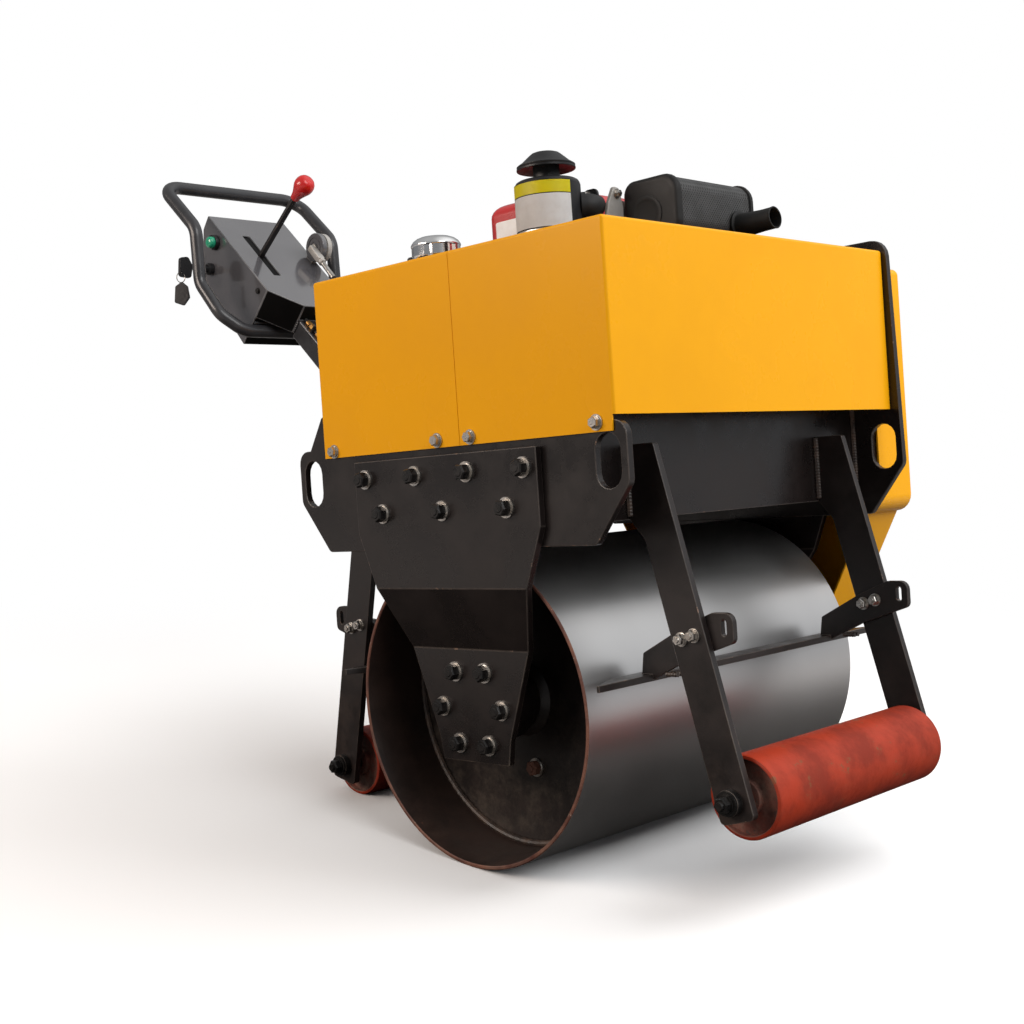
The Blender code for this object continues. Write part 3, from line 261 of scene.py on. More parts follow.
def surface_marks():
    """Patches, fine grain, chips and floor dust, which every painted finish shares."""
    inputs = [
        ("Patch Scale", 5.0),
        ("Grain Scale", 500.0),
        ("Chip Scale", 60.0),
        ("Chip Level", 0.9),
        ("Dust Top", 0.4),
        ("Dust Amount", 0.3),
    ]
    tree, given, out = new_group("surface_marks", inputs, ["Patches", "Grain", "Chips", "Dust"])
    size = given.outputs
    low = smooth_step(tree, axes_of(tree, coordinates(tree))["Z"], size["Dust Top"], 0.0)
    spread = smooth_step(tree, noise_at(tree, 22.0, 8.0, 0.7), 0.40, 0.72)
    chips = noise_at(tree, size["Chip Scale"], 8.0, 0.75)
    edge = maths(tree, "ADD", size["Chip Level"], 0.03)
    marks = {
        "Patches": smooth_step(tree, noise_at(tree, size["Patch Scale"], 6.0, 0.65), 0.36, 0.66),
        "Grain": noise_at(tree, size["Grain Scale"], 3.0),
        "Chips": smooth_step(tree, chips, size["Chip Level"], edge),
        "Dust": maths(tree, "MULTIPLY", maths(tree, "MULTIPLY", low, spread), size["Dust Amount"]),
    }
    for label, mark in marks.items():
        tree.links.new(mark, out.inputs[label])
    return tree


def brushed_marks():
    """Fine lines that run round the drum, and broad soft bands across it."""
    tree, given, out = new_group("brushed_marks", [("Line Scale", 900.0)], ["Lines", "Bands"])
    inputs = {"Location": -JOINTS["drum_turn"], "Vector": coordinates(tree)}
    place = axes_of(tree, new_node(tree, "ShaderNodeMapping", inputs).outputs[0])
    round_it = maths(tree, "ARCTAN2", place["X"], place["Z"])
    rows = (("Lines", given.outputs["Line Scale"], 6.0, 5.0, 0.6), ("Bands", 9.0, 1.5, 3.0, 0.5))
    for label, across, turns, detail, roughness in rows:
        first = maths(tree, "MULTIPLY", place["Y"], across)
        second = maths(tree, "MULTIPLY", round_it, turns)
        spot = new_node(tree, "ShaderNodeCombineXYZ", {0: first, 1: second}).outputs[0]
        tree.links.new(noise_at(tree, 1.0, detail, roughness, spot), out.inputs[label])
    return tree


def screen_marks():
    """Rows of small round holes, as in a pressed heat guard."""
    tree, given, out = new_group("screen_marks", [("Pitch", 0.0062)], ["Holes"])
    place = axes_of(tree, coordinates(tree))
    turn = maths(tree, "DIVIDE", 2 * pi, given.outputs["Pitch"])
    across = maths(tree, "ADD", place["X"], place["Z"])
    first = maths(tree, "SINE", maths(tree, "MULTIPLY", across, turn))
    second = maths(tree, "SINE", maths(tree, "MULTIPLY", place["Y"], turn))
    holes = smooth_step(tree, maths(tree, "MULTIPLY", first, second), 0.1, 0.7)
    tree.links.new(holes, out.inputs["Holes"])
    return tree


MARKS = surface_marks()
BRUSHED = brushed_marks()
SCREEN = screen_marks()


def place_group(tree, group, **values):
    made = tree.nodes.new("ShaderNodeGroup")
    made.node_tree = group
    for label, value in values.items():
        made.inputs[label.replace("_", " ")].default_value = value
    return made


def new_material(name):
    made = bpy.data.materials.new(name)
    made.use_nodes = True
    return made


def shaded(material, viewport, settings, height, bump, distance):
    """Gives a material's shader its settings and its bump, and the plain colour of the viewport."""
    tree = material.node_tree
    lift = new_node(
        tree, "ShaderNodeBump", {"Strength": bump, "Distance": distance, "Height": height}
    )
    shader = tree.nodes["Principled BSDF"]
    for label, value in (settings | {"Normal": lift.outputs["Normal"]}).items():
        set_input(tree, shader.inputs[label], value)
    material.diffuse_color = (*viewport, 1)
    return material


def finish(
    name,
    colour,
    tint=None,
    roughness=0.4,
    metallic=0.0,
    coat=0.0,
    patch_scale=5.0,
    patch_roughness=0.12,
    grain_scale=500.0,
    bump=0.12,
    chips=1.2,
    chip_scale=60.0,
    chip_colour=(0.30, 0.27, 0.24),
    dust=0.0,
    dust_top=0.45,
    dust_colour=(0.36, 0.29, 0.22),
    specular=0.5,
    screen=False,
):
    """A paint, plastic or plate finish with patches, grain, chips and dust from the shared groups."""
    made = new_material(name)
    tree = made.node_tree
    marks = place_group(
        tree,
        MARKS,
        Patch_Scale=patch_scale,
        Grain_Scale=grain_scale,
        Chip_Scale=chip_scale,
        Chip_Level=chips,
        Dust_Top=dust_top,
        Dust_Amount=dust,
    )
    tint = tint or tuple(channel * 0.78 for channel in colour)
    shade = mix_colour(tree, marks.outputs["Patches"], colour, tint)
    shade = mix_colour(tree, marks.outputs["Chips"], shade, chip_colour)
    shade = mix_colour(tree, marks.outputs["Dust"], shade, dust_colour)
    height = marks.outputs["Grain"]
    if screen:
        holes = place_group(tree, SCREEN).outputs["Holes"]
        # The holes are painted near-black: painted shade inside them, with a bump for their depth.
        shade = mix_colour(tree, holes, shade, (0.004, 0.004, 0.004))
        height = maths(tree, "SUBTRACT", maths(tree, "MULTIPLY", height, 0.2), holes)
    rough = maths(tree, "MULTIPLY", marks.outputs["Patches"], patch_roughness)
    rough = maths(tree, "ADD", rough, roughness)
    rough = maths(tree, "ADD", rough, maths(tree, "MULTIPLY", marks.outputs["Dust"], 0.4), clamp=True)
    settings = {
        "Base Color": shade,
        "Roughness": rough,
        "Metallic": metallic,
        "Specular IOR Level": specular,
        "Coat Weight": coat,
        "Coat Roughness": 0.12,
    }
    return shaded(made, colour, settings, height, bump, 0.001)


def drum_steel():
    """Bare rolled steel, polished by use, with fine lines round the drum."""
    made = new_material("rolled_steel")
    tree = made.node_tree
    lines = place_group(tree, BRUSHED).outputs
    marks = place_group(tree, MARKS, Patch_Scale=7.0, Dust_Amount=0.10, Dust_Top=0.15).outputs
    shade = mix_colour(tree, lines["Bands"], (0.74, 0.735, 0.73), (0.68, 0.675, 0.67))
    shade = mix_colour(tree, marks["Dust"], shade, (0.33, 0.28, 0.23))
    rough = maths(tree, "MULTIPLY", lines["Lines"], 0.05)
    rough = maths(tree, "ADD", rough, maths(tree, "MULTIPLY", marks["Patches"], 0.03))
    settings = {"Base Color": shade, "Roughness": maths(tree, "ADD", rough, 0.34), "Metallic": 1.0}
    return shaded(made, (0.6, 0.6, 0.6), settings, lines["Lines"], 0.015, 0.0003)


YELLOW = (0.84, 0.375, 0.004)
FRAME = (0.0085, 0.0062, 0.0058)
RUST = (0.095, 0.032, 0.022)
F = {
    "yellow": finish(
        "hood_paint", YELLOW, (0.80, 0.350, 0.004), 0.26, patch_scale=2.5,
        patch_roughness=0.06, grain_scale=260, bump=0.05, dust=0.04, dust_top=0.9, specular=0.16,
    ),
    # Lighter yellow for bevelled edges: painted highlight, with chips of real wear.
    "yellow_edge_highlight": finish(
        "hood_paint_edge_highlight", (0.90, 0.50, 0.05), YELLOW, 0.26, coat=0.3, patch_scale=40,
        chips=0.69, chip_scale=30, chip_colour=(0.30, 0.20, 0.10),
    ),
    "frame": finish(
        "frame_paint", FRAME, (0.0125, 0.0085, 0.0075), 0.24, patch_scale=9, patch_roughness=0.14,
        grain_scale=320, bump=0.10, chips=0.735, chip_colour=(0.06, 0.030, 0.022), dust=0.12,
        dust_top=0.4, dust_colour=(0.10, 0.06, 0.045),
    ),
    # Lighter brown-grey for the bevelled edges and bends of black parts: painted highlight, with chips
    # and dust of real wear.
    "frame_edge": finish(
        "frame_paint_edge_highlight", (0.06, 0.048, 0.042), (0.03, 0.024, 0.021), 0.30, patch_scale=30,
        chips=0.60, chip_scale=45, chip_colour=(0.22, 0.14, 0.10), dust=0.3, dust_top=0.5,
    ),
    "leg": finish(
        "leg_paint", (0.0090, 0.0066, 0.0060), (0.0150, 0.0100, 0.0090), 0.28, patch_scale=14,
        patch_roughness=0.16, bump=0.14, chips=0.71, chip_colour=(0.09, 0.040, 0.028), dust=0.22,
        dust_top=0.45, dust_colour=(0.12, 0.075, 0.055),
    ),
    "disc": finish(
        "disc_paint", (0.010, 0.0075, 0.0070), (0.020, 0.0125, 0.0100), 0.34, patch_scale=12,
        bump=0.22, grain_scale=180, chips=0.69, chip_colour=(0.10, 0.045, 0.028), dust=0.15,
    ),
    "rust": finish(
        "rusty_edge", RUST, (0.20, 0.080, 0.050), 0.5, patch_scale=26, grain_scale=420, bump=0.35,
        chips=0.62, chip_scale=50, chip_colour=(0.42, 0.30, 0.24), dust=0.2,
    ),
    "inside": finish(
        "drum_inside", (0.0155, 0.0098, 0.0082), (0.030, 0.016, 0.012), 0.36, patch_scale=8,
        grain_scale=160, bump=0.30, chips=0.68, chip_scale=35, chip_colour=(0.13, 0.055, 0.035),
        dust=0.14, dust_top=0.35, dust_colour=(0.12, 0.07, 0.05),
    ),
    "weld": finish(
        "weld_bead", (0.035, 0.028, 0.025), (0.09, 0.06, 0.045), 0.38, patch_scale=40,
        grain_scale=300, bump=0.3, chips=0.66, chip_colour=(0.3, 0.25, 0.2),
    ),
    "oxide": finish(
        "roller_oxide", (0.37, 0.034, 0.011), (0.22, 0.024, 0.011), 0.46, patch_scale=14, specular=0.25,
        patch_roughness=0.18, grain_scale=240, bump=0.20, chips=0.60, chip_scale=22,
        chip_colour=(0.20, 0.060, 0.025), dust=0.20, dust_top=0.35, dust_colour=(0.34, 0.12, 0.07),
    ),
    "oxide_end": finish(
        "roller_end", (0.20, 0.045, 0.028), (0.09, 0.030, 0.022), 0.65, patch_scale=24,
        grain_scale=200, bump=0.3, chips=0.60, chip_colour=(0.07, 0.035, 0.028), dust=0.5,
    ),
    "zinc": finish(
        "bright_zinc", (0.62, 0.60, 0.57), (0.45, 0.42, 0.38), 0.26, metallic=1.0, patch_scale=60,
        grain_scale=900, bump=0.08, chips=0.70, chip_colour=(0.30, 0.20, 0.13),
    ),
    "black_bolt": finish(
        "blacked_bolt", (0.008, 0.0075, 0.0075), (0.016, 0.014, 0.013), 0.26, metallic=0.2,
        patch_scale=70, grain_scale=900, bump=0.1, chips=0.70, chip_colour=(0.10, 0.08, 0.07),
    ),
    "brass": finish(
        "passivated_brass", (0.62, 0.36, 0.11), (0.42, 0.22, 0.07), 0.30, metallic=1.0,
        patch_scale=80, bump=0.08,
    ),
    "chrome": finish(
        "bright_chrome", (0.96, 0.96, 0.96), (0.90, 0.90, 0.89), 0.11, metallic=1.0,
        patch_scale=30, patch_roughness=0.05, bump=0.02,
    ),
    "alloy": finish(
        "cast_alloy", (0.50, 0.48, 0.45), (0.38, 0.36, 0.33), 0.40, metallic=0.45, patch_scale=20,
        grain_scale=700, bump=0.35, chips=0.72, chip_colour=(0.12, 0.10, 0.09),
    ),
    "plastic": finish(
        "moulded_black", (
            0.009, 0.009, 0.010
        ), (0.015, 0.015, 0.016), 0.36, specular=0.35, patch_scale=18,
        grain_scale=1300, bump=0.12,
    ),
    "exhaust": finish(
        "stove_black", (0.009, 0.009, 0.009), (
            0.015, 0.0145, 0.014
        ), 0.46, specular=0.32, patch_scale=25,
        grain_scale=900, bump=0.25,
    ),
    "screen": finish(
        "pressed_screen", (
            0.052, 0.052, 0.052
        ), (0.040, 0.040, 0.040), 0.50, specular=0.4, patch_scale=25,
        grain_scale=900, bump=0.8, screen=True,
    ),
    "red": finish(
        "tank_red", (0.55, 0.018, 0.018), (0.44, 0.014, 0.015), 0.22, coat=0.5, patch_scale=6,
        bump=0.03,
    ),
    "knob": finish(
        "knob_red", (0.60, 0.012, 0.010), (0.50, 0.010, 0.009), 0.20, coat=0.4, patch_scale=30,
        bump=0.03,
    ),
    "tube": finish(
        "tube_enamel", (0.020, 0.020, 0.022), (0.028, 0.028, 0.031), 0.27, coat=0.2,
        patch_scale=14, bump=0.04, chips=0.74, chip_colour=(0.12, 0.11, 0.10),
    ),
    "console": finish(
        "box_enamel", (0.085, 0.083, 0.088), (0.074, 0.071, 0.077), 0.12, coat=1.0,
        patch_scale=9, patch_roughness=0.05, grain_scale=350, bump=0.03, specular=0.9,
    ),
    # Lighter grey for the bevelled edges of the console and the handle tube: painted highlight, with
    # chips of real wear.
    "console_edge": finish(
        "box_enamel_edge_highlight", (0.16, 0.16, 0.165), (0.10, 0.10, 0.105), 0.25, coat=0.3,
        patch_scale=40, chips=0.66, chip_colour=(0.3, 0.28, 0.26),
    ),
    "green": finish(
        "button_green", (0.010, 0.30, 0.16), (0.008, 0.24, 0.13), 0.16, coat=0.6, bump=0.02
    ),
    "label_white": finish(
        "label_white", (0.97, 0.96, 0.95), (0.90, 0.88, 0.86), 0.42, patch_scale=40, bump=0.04
    ),
    "label_yellow": finish(
        "label_yellow", (0.98, 0.86, 0.01), (0.92, 0.80, 0.01), 0.40, patch_scale=40, bump=0.04
    ),
    "rubber": finish(
        "hose_rubber", (0.012, 0.012, 0.012), (0.02, 0.02, 0.02), 0.55, grain_scale=1600, bump=0.2
    ),
    # Near-black; on the console's forward-facing faces it is painted shade.
    "dark": finish(
        "shaded_black", (0.0030, 0.0028, 0.0028), (0.0050, 0.0046, 0.0046), 0.50, specular=0.12,
        grain_scale=900, bump=0.1,
    ),
    "steel": drum_steel(),
}

# ---------------------------------------------------------------- shapes


def arc(centre, radius, start, end, steps):
    """Points of an arc, from one angle in degrees to another."""
    angles = [radians(start + (end - start) * step / steps) for step in range(steps + 1)]
    return [(centre[0] + radius * cos(a), centre[1] + radius * sin(a)) for a in angles]


def circle_points(centre, radius, steps):
    return arc(centre, radius, 0, 360, steps)[:-1]


def inside(point, outlines):
    crossings = 0
    for outline in outlines:
        for (x0, y0), (x1, y1) in zip(outline, outline[1:] + outline[:1]):
            if (y0 > point.y) != (y1 > point.y):
                crossings += point.x < x0 + (point.y - y0) / (y1 - y0) * (x1 - x0)
    return crossings % 2 == 1


def rounded(outline, radii, steps=5):
    """An outline with its corners rounded, with one radius for each corner."""
    made = []
    for index, (corner, radius) in enumerate(zip(outline, radii)):
        here = Vector(corner)
        if not radius:
            made.append(here)
            continue
        before = (Vector(outline[index - 1]) - here).normalized()
        after = (Vector(outline[(index + 1) % len(outline)]) - here).normalized()
        half = before.angle(after) / 2
        centre = here + (before + after).normalized() * radius / sin(half)
        first = (here + before * radius / tan(half) - centre).normalized()
        last = (here + after * radius / tan(half) - centre).normalized()
        made += [centre + first.slerp(last, step / steps) * radius for step in range(steps + 1)]
    return [tuple(point) for point in made]


def loft(rows, closed_rows=True, caps=True):
    """A skin over rows of points, each row a loop, with flat ends."""
    shape = bmesh.new()
    made = [[shape.verts.new(point) for point in row] for row in rows]
    count = len(rows[0])
    for upper, lower in zip(made, made[1:]):
        for i in range(count if closed_rows else count - 1):
            j = (i + 1) % count
            shape.faces.new((upper[i], upper[j], lower[j], lower[i]))
    if caps:
        shape.faces.new(made[0])
        shape.faces.new(made[-1])
    return shape


def ordered(shape):
    """Sorts a shape's faces by their corners, which some operators leave in a changing order."""
    shape.verts.index_update()
    count = len(shape.verts)

    def rank(face):
        total = 0
        for index in sorted(vert.index for vert in face.verts):
            total = total * count + index
        return total

    shape.faces.sort(key=rank)
    return shape


def plate(outlines, low, high, axis="Y", edge=0.0):
    """A flat plate of the first outline, less the holes in the others, between two planes."""
    points, edges = [], []
    for outline in outlines:
        first = len(points)
        points += [Vector(point) for point in outline]
        edges += [(first + i, first + (i + 1) % len(outline)) for i in range(len(outline))]
    plan, _, faces, _, _, _ = delaunay_2d_cdt(points, edges, [], 0, 1e-7)
    order = {
        "Y": lambda p: (p.x, low, p.y), "Z": lambda p: (p.x, p.y, low), "X": lambda p: (low, p.x, p.y)
    }
    shape = bmesh.new()
    verts = [shape.verts.new(order[axis](point)) for point in plan]
    for face in faces:
        middle = sum((plan[i] for i in face), Vector((0, 0))) / len(face)
        if inside(middle, outlines):
            shape.faces.new([verts[i] for i in face])
    lifted = bmesh.ops.extrude_face_region(shape, geom=shape.faces[:], use_keep_orig=True)
    offset = {"Y": (0, high - low, 0), "Z": (0, 0, high - low), "X": (high - low, 0, 0)}[axis]
    moved = [item for item in lifted["geom"] if isinstance(item, bmesh.types.BMVert)]
    bmesh.ops.translate(shape, verts=moved, vec=offset)
    return soften(shape, edge) if edge else ordered(shape)


def soften(shape, width, segments=2, angle=30, edge_index=1):
    """Bevels every sharp edge, after flat triangles are joined, and marks the new faces."""
    bmesh.ops.remove_doubles(shape, verts=shape.verts, dist=1e-5)
    bmesh.ops.dissolve_limit(
        shape, angle_limit=radians(1.0), verts=shape.verts[:], edges=shape.edges[:]
    )
    bmesh.ops.recalc_face_normals(shape, faces=shape.faces)
    sharp = [
        edge
        for edge in shape.edges
        if len(edge.link_faces) == 2 and edge.calc_face_angle(0) > radians(angle)
    ]
    made = bmesh.ops.bevel(
        shape, geom=sharp, offset=width, segments=segments, profile=0.5, affect="EDGES",
        clamp_overlap=True,
    )
    for face in made["faces"]:
        face.material_index = edge_index
    return shape


def box(low, high, edge=0.0, segments=2):
    shape = bmesh.new()
    bmesh.ops.create_cube(shape, size=1.0)
    low, high = Vector(low), Vector(high)
    bmesh.ops.scale(shape, verts=shape.verts, vec=high - low)
    bmesh.ops.translate(shape, verts=shape.verts, vec=(low + high) / 2)
    if edge:
        made = bmesh.ops.bevel(
            shape, geom=shape.edges[:], offset=edge, segments=segments, profile=0.5,
            affect="EDGES", clamp_overlap=True,
        )
        for face in made["faces"]:
            face.material_index = 1
    return shape


def turned(profile, facets, axis="Y", marks=None):
    """A profile of (radius, along) points turned about the axis. marks gives each band's finish."""
    shape = bmesh.new()
    rings = []
    for radius, along in profile:
        ring = []
        for step in range(facets):
            angle = 2 * pi * step / facets
            u, v = radius * sin(angle), radius * cos(angle)
            point = {"Y": (u, along, v), "Z": (u, v, along), "X": (along, u, v)}[axis]
            ring.append(shape.verts.new(point))
        rings.append(ring)
    for index, (first, second) in enumerate(zip(rings, rings[1:])):
        for i in range(facets):
            j = (i + 1) % facets
            face = shape.faces.new((first[i], first[j], second[j], second[i]))
            face.material_index = marks[index] if marks else 0
    bmesh.ops.remove_doubles(shape, verts=shape.verts, dist=1e-6)
    flat = [face for face in shape.faces if face.calc_area() < 1e-12]
    bmesh.ops.delete(shape, geom=flat, context="FACES_ONLY")
    return shape


def moved(shape, place=(0, 0, 0), way=None, up=(0, 0, 1)):
    """Turns a shape's own axis onto a direction, then puts it in its place."""
    turn = Matrix.Identity(4)
    if way is not None:
        turn = Vector(up).rotation_difference(Vector(way)).to_matrix().to_4x4()
    bmesh.ops.transform(shape, matrix=Matrix.Translation(place) @ turn, verts=shape.verts)
    return shape


def ripple(amount, pitch):
    """How a weld bead swells along its run."""
    return lambda run: 1 + amount * abs(sin(pi * run / pitch))


def pipe(path, radius, sides=16, closed=False, swell=None, flat_ends=True):
    """A round bar along a path, with steady frames from point to point."""
    points = [Vector(point) for point in path]
    count = len(points)
    ways = []
    for index in range(count):
        if closed:
            way = points[(index + 1) % count] - points[index - 1]
        else:
            way = points[min(index + 1, count - 1)] - points[max(index - 1, 0)]
        ways.append(way.normalized())
    side = ways[0].orthogonal().normalized()
    rows, run = [], 0.0
    for index, (point, way) in enumerate(zip(points, ways)):
        side = (side - way * side.dot(way)).normalized()
        up = way.cross(side)
        if index:
            run += (point - points[index - 1]).length
        size = radius * (swell(run) if swell else 1.0)
        row = []
        for step in range(sides):
            angle = 2 * pi * step / sides
            row.append(point + (side * cos(angle) + up * sin(angle)) * size)
        rows.append(row)
    if closed:
        shift = min(
            range(sides), key=lambda k: sum(
                (rows[0][i] - rows[-1][(i + k) % sides]).length for i in (0, 4)
            )
        )
        rows.append([rows[0][(i - shift) % sides] for i in range(sides)])
    return loft(rows, caps=flat_ends and not closed)


def fillet_path(corners, radius, closed=False, steps=8):
    """A path in space through the corners, each rounded to the radius."""
    points = [Vector(corner) for corner in corners]
    made = []
    for index, here in enumerate(points):
        if not closed and index in (0, len(points) - 1):
            made.append(here)
            continue
        before = points[index - 1] - here
        after = points[(index + 1) % len(points)] - here
        half = before.angle(after) / 2
        reach = min(radius / tan(half), before.length * 0.49, after.length * 0.49)
        bend = reach * tan(half)
        centre = here + (before.normalized() + after.normalized()).normalized() * bend / sin(half)
        first = (here + before.normalized() * reach - centre).normalized()
        last = (here + after.normalized() * reach - centre).normalized()
        made += [centre + first.slerp(last, step / steps) * bend for step in range(steps + 1)]
    return made


def bead(start, end, radius=0.0035):
    """A weld bead with its ripples, along a straight seam."""
    start, end = Vector(start), Vector(end)
    count = max(int((end - start).length / 0.0012), 4)
    path = [start.lerp(end, step / count) for step in range(count + 1)]
    return pipe(path, radius, 8, swell=ripple(0.25, 0.005))


def together(*shapes):
    """Puts separate shapes in one mesh."""
    joined = bmesh.new()
    for shape in shapes:
        held = bpy.data.meshes.new("held")
        shape.to_mesh(held)
        shape.free()
        joined.from_mesh(held)
        bpy.data.meshes.remove(held)
    return joined


def painted(shape, index):
    """Gives every face of a shape the finish at this index."""
    for face in shape.faces:
        face.material_index = index
    return shape


def piece(name, shape, finishes, body, replaces=(), slot=None, crease=32, drawn=True, weigh=True):
    """One finished piece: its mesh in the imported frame, its finishes, and the body it rides on."""
    bmesh.ops.recalc_face_normals(shape, faces=shape.faces)
    mesh = bpy.data.meshes.new(name)
    if drawn:
        bmesh.ops.transform(shape, matrix=MACHINE, verts=shape.verts)
    shape.to_mesh(mesh)
    shape.free()
    for item in finishes.split():
        mesh.materials.append(F[item])
    mesh.shade_smooth()
    mesh.set_sharp_from_angle(angle=radians(crease))
    made = bpy.data.objects.new(name, mesh)
    bpy.context.scene.collection.objects.link(made)
    if weigh:
        normals = made.modifiers.new("even_normals", "WEIGHTED_NORMAL")
        normals.keep_sharp = True
    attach(made, body)
    if replaces:
        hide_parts(*replaces)
        slot = slot or SLOT_OF[replaces[0]]
    return made


def node_copy(node):
    shape = bmesh.new()
    shape.from_mesh(frame["nodes"][node].data)
    bmesh.ops.remove_doubles(shape, verts=shape.verts, dist=2e-5)
    return shape


def softened(node, finishes, width=0.0012, crease=26, bend=30):
    """The CAD piece again, with eased edges wherever it turns more than bend degrees; the bevel faces
    take the second finish, a lighter edge paint that is painted highlight as well as wear.
    """
    shape = soften(node_copy(node), width, angle=bend)
    return piece(
        f"{node}_finished", shape, finishes, BODY_OF[node], (node,), crease=crease, drawn=False
    )


# ---------------------------------------------------------------- repeated hardware


def node_tree(name, inputs):
    tree = bpy.data.node_groups.new(name, "GeometryNodeTree")
    tree.interface.new_socket("Geometry", in_out="INPUT", socket_type="NodeSocketGeometry")
    for label, kind, value in inputs:
        socket = tree.interface.new_socket(label, in_out="INPUT", socket_type=f"NodeSocket{kind}")
        if value is not None:
            socket.default_value = value
    tree.interface.new_socket("Geometry", in_out="OUTPUT", socket_type="NodeSocketGeometry")
    return tree, tree.nodes.new("NodeGroupInput"), tree.nodes.new("NodeGroupOutput")


def stacked(tree, height, below, radius, top_radius, sides, head):
    """A short cylinder or cone that stands on what is below it, marked as head or washer."""
    solid = new_node(
        tree,
        "GeometryNodeMeshCone",
        {"Vertices": sides, "Radius Top": top_radius, "Radius Bottom": radius, "Depth": height},
    )
    lift = new_node(tree, "ShaderNodeCombineXYZ", {"Z": below})
    up = new_node(
        tree, "GeometryNodeTransform", {
            "Geometry": solid.outputs["Mesh"], "Translation": lift.outputs[0]
        }
    )
    mark = new_node(
        tree,
        "GeometryNodeStoreNamedAttribute",
        {"Geometry": up.outputs[0], "Name": "head", "Value": head},
        data_type="BOOLEAN",
        domain="FACE",
    )
    return mark.outputs[0]


BOLT_SIZES = [
    f"{part} {size}" for part in ("Head", "Washer", "Spring", "Stud") for size in ("Radius", "Height")
]


def hardware_tree():
    """A bolt or nut with its washers at every point, standing along the point's facing."""
    usual = (0.011, 0.009, 0.014, 0.0025, 0.0125, 0.0035, 0.006, 0.003)
    sizes = [(label, "Float", value) for label, value in zip(BOLT_SIZES, usual)] + [
        ("Seed", "Int", 1),
        ("Head Finish", "Material", None),
        ("Washer Finish", "Material", None),
    ]
    tree, given, out = node_tree("hardware", sizes)
    size = given.outputs

    def total(first, second):
        return new_node(tree, "ShaderNodeMath", {0: first, 1: second}).outputs[0]

    def share(value, part):
        return new_node(tree, "ShaderNodeMath", {0: value, 1: part}, operation="MULTIPLY").outputs[0]

    on_washer = size["Washer Height"]
    on_spring = total(on_washer, size["Spring Height"])
    shank = share(size["Head Height"], 0.82)
    on_shank = total(on_spring, shank)
    on_head = total(on_spring, size["Head Height"])
    parts = [
        stacked(
            tree, size["Washer Height"], 0.0, size["Washer Radius"], size["Washer Radius"], 24, False
        ),
        stacked(
            tree, size["Spring Height"], on_washer, size["Spring Radius"], size["Spring Radius"], 20,
            False
        ),
        stacked(tree, shank, on_spring, size["Head Radius"], size["Head Radius"], 6, True),
        stacked(
            tree, share(size["Head Height"], 0.18), on_shank, size["Head Radius"],
            share(size["Head Radius"], 0.84), 6, True,
        ),
        stacked(
            tree, size["Stud Height"], on_head, size["Stud Radius"], share(
                size["Stud Radius"], 0.85
            ), 12, True
        ),
    ]
    join = tree.nodes.new("GeometryNodeJoinGeometry")
    for part in parts:
        tree.links.new(part, join.inputs[0])
    facing = new_node(
        tree, "GeometryNodeInputNamedAttribute", {"Name": "facing"}, data_type="FLOAT_VECTOR"
    )
    stand = new_node(
        tree, "FunctionNodeAlignRotationToVector", {"Vector": facing.outputs["Attribute"]}, axis="Z"
    )
    spin = new_node(
        tree, "FunctionNodeRandomValue", {"Min": 0.0, "Max": pi / 3, "Seed": size["Seed"]},
        data_type="FLOAT",
    )
    twist = new_node(tree, "ShaderNodeCombineXYZ", {"Z": spin.outputs[1]})
    euler = new_node(tree, "FunctionNodeEulerToRotation", {"Euler": twist.outputs[0]})
    turn = new_node(
        tree,
        "FunctionNodeRotateRotation",
        {"Rotation": stand.outputs[0], "Rotate By": euler.outputs[0]},
        rotation_space="LOCAL",
    )
    points = new_node(tree, "GeometryNodeMeshToPoints", {"Mesh": given.outputs["Geometry"]})
    spread = new_node(
        tree,
        "GeometryNodeInstanceOnPoints",
        {"Points": points.outputs[0], "Instance": join.outputs[0], "Rotation": turn.outputs[0]},
    )
    real = new_node(tree, "GeometryNodeRealizeInstances", {"Geometry": spread.outputs[0]})
    washers = new_node(
        tree, "GeometryNodeSetMaterial", {
            "Geometry": real.outputs[0], "Material": size["Washer Finish"]
        }
    )
    is_head = new_node(tree, "GeometryNodeInputNamedAttribute", {"Name": "head"}, data_type="BOOLEAN")
    heads = new_node(
        tree,
        "GeometryNodeSetMaterial",
        {
            "Geometry": washers.outputs[0],
            "Selection": is_head.outputs["Attribute"],
            "Material": size["Head Finish"],
        },
    )
    tree.links.new(heads.outputs[0], out.inputs[0])
    return tree


def fin_tree():
    """A row of thin plates at a steady pitch, each as big as the input says."""
    sizes = [
        ("Count", "Int", 8),
        ("Step", "Vector", (0, 0, 0.01)),
        ("Size", "Vector", (0.1, 0.1, 0.003)),
        ("Finish", "Material", None),
    ]
    tree, given, out = node_tree("fins", sizes)
    line = new_node(
        tree, "GeometryNodeMeshLine", {"Count": given.outputs["Count"], "Offset": given.outputs["Step"]}
    )
    solid = new_node(tree, "GeometryNodeMeshCube", {"Size": given.outputs["Size"]})
    spread = new_node(
        tree, "GeometryNodeInstanceOnPoints", {
            "Points": line.outputs[0], "Instance": solid.outputs["Mesh"]
        }
    )
    real = new_node(tree, "GeometryNodeRealizeInstances", {"Geometry": spread.outputs[0]})
    where = new_node(tree, "GeometryNodeInputPosition", {})
    start = new_node(
        tree, "GeometryNodeSampleIndex", {
            "Geometry": given.outputs["Geometry"], "Value": where.outputs[0]
        },
        data_type="FLOAT_VECTOR", domain="POINT",
    )
    shift = new_node(
        tree, "GeometryNodeTransform", {"Geometry": real.outputs[0], "Translation": start.outputs[0]}
    )
    coloured = new_node(
        tree, "GeometryNodeSetMaterial", {
            "Geometry": shift.outputs[0], "Material": given.outputs["Finish"]
        }
    )
    tree.links.new(coloured.outputs[0], out.inputs[0])
    return tree


HARDWARE = hardware_tree()
FINS = fin_tree()


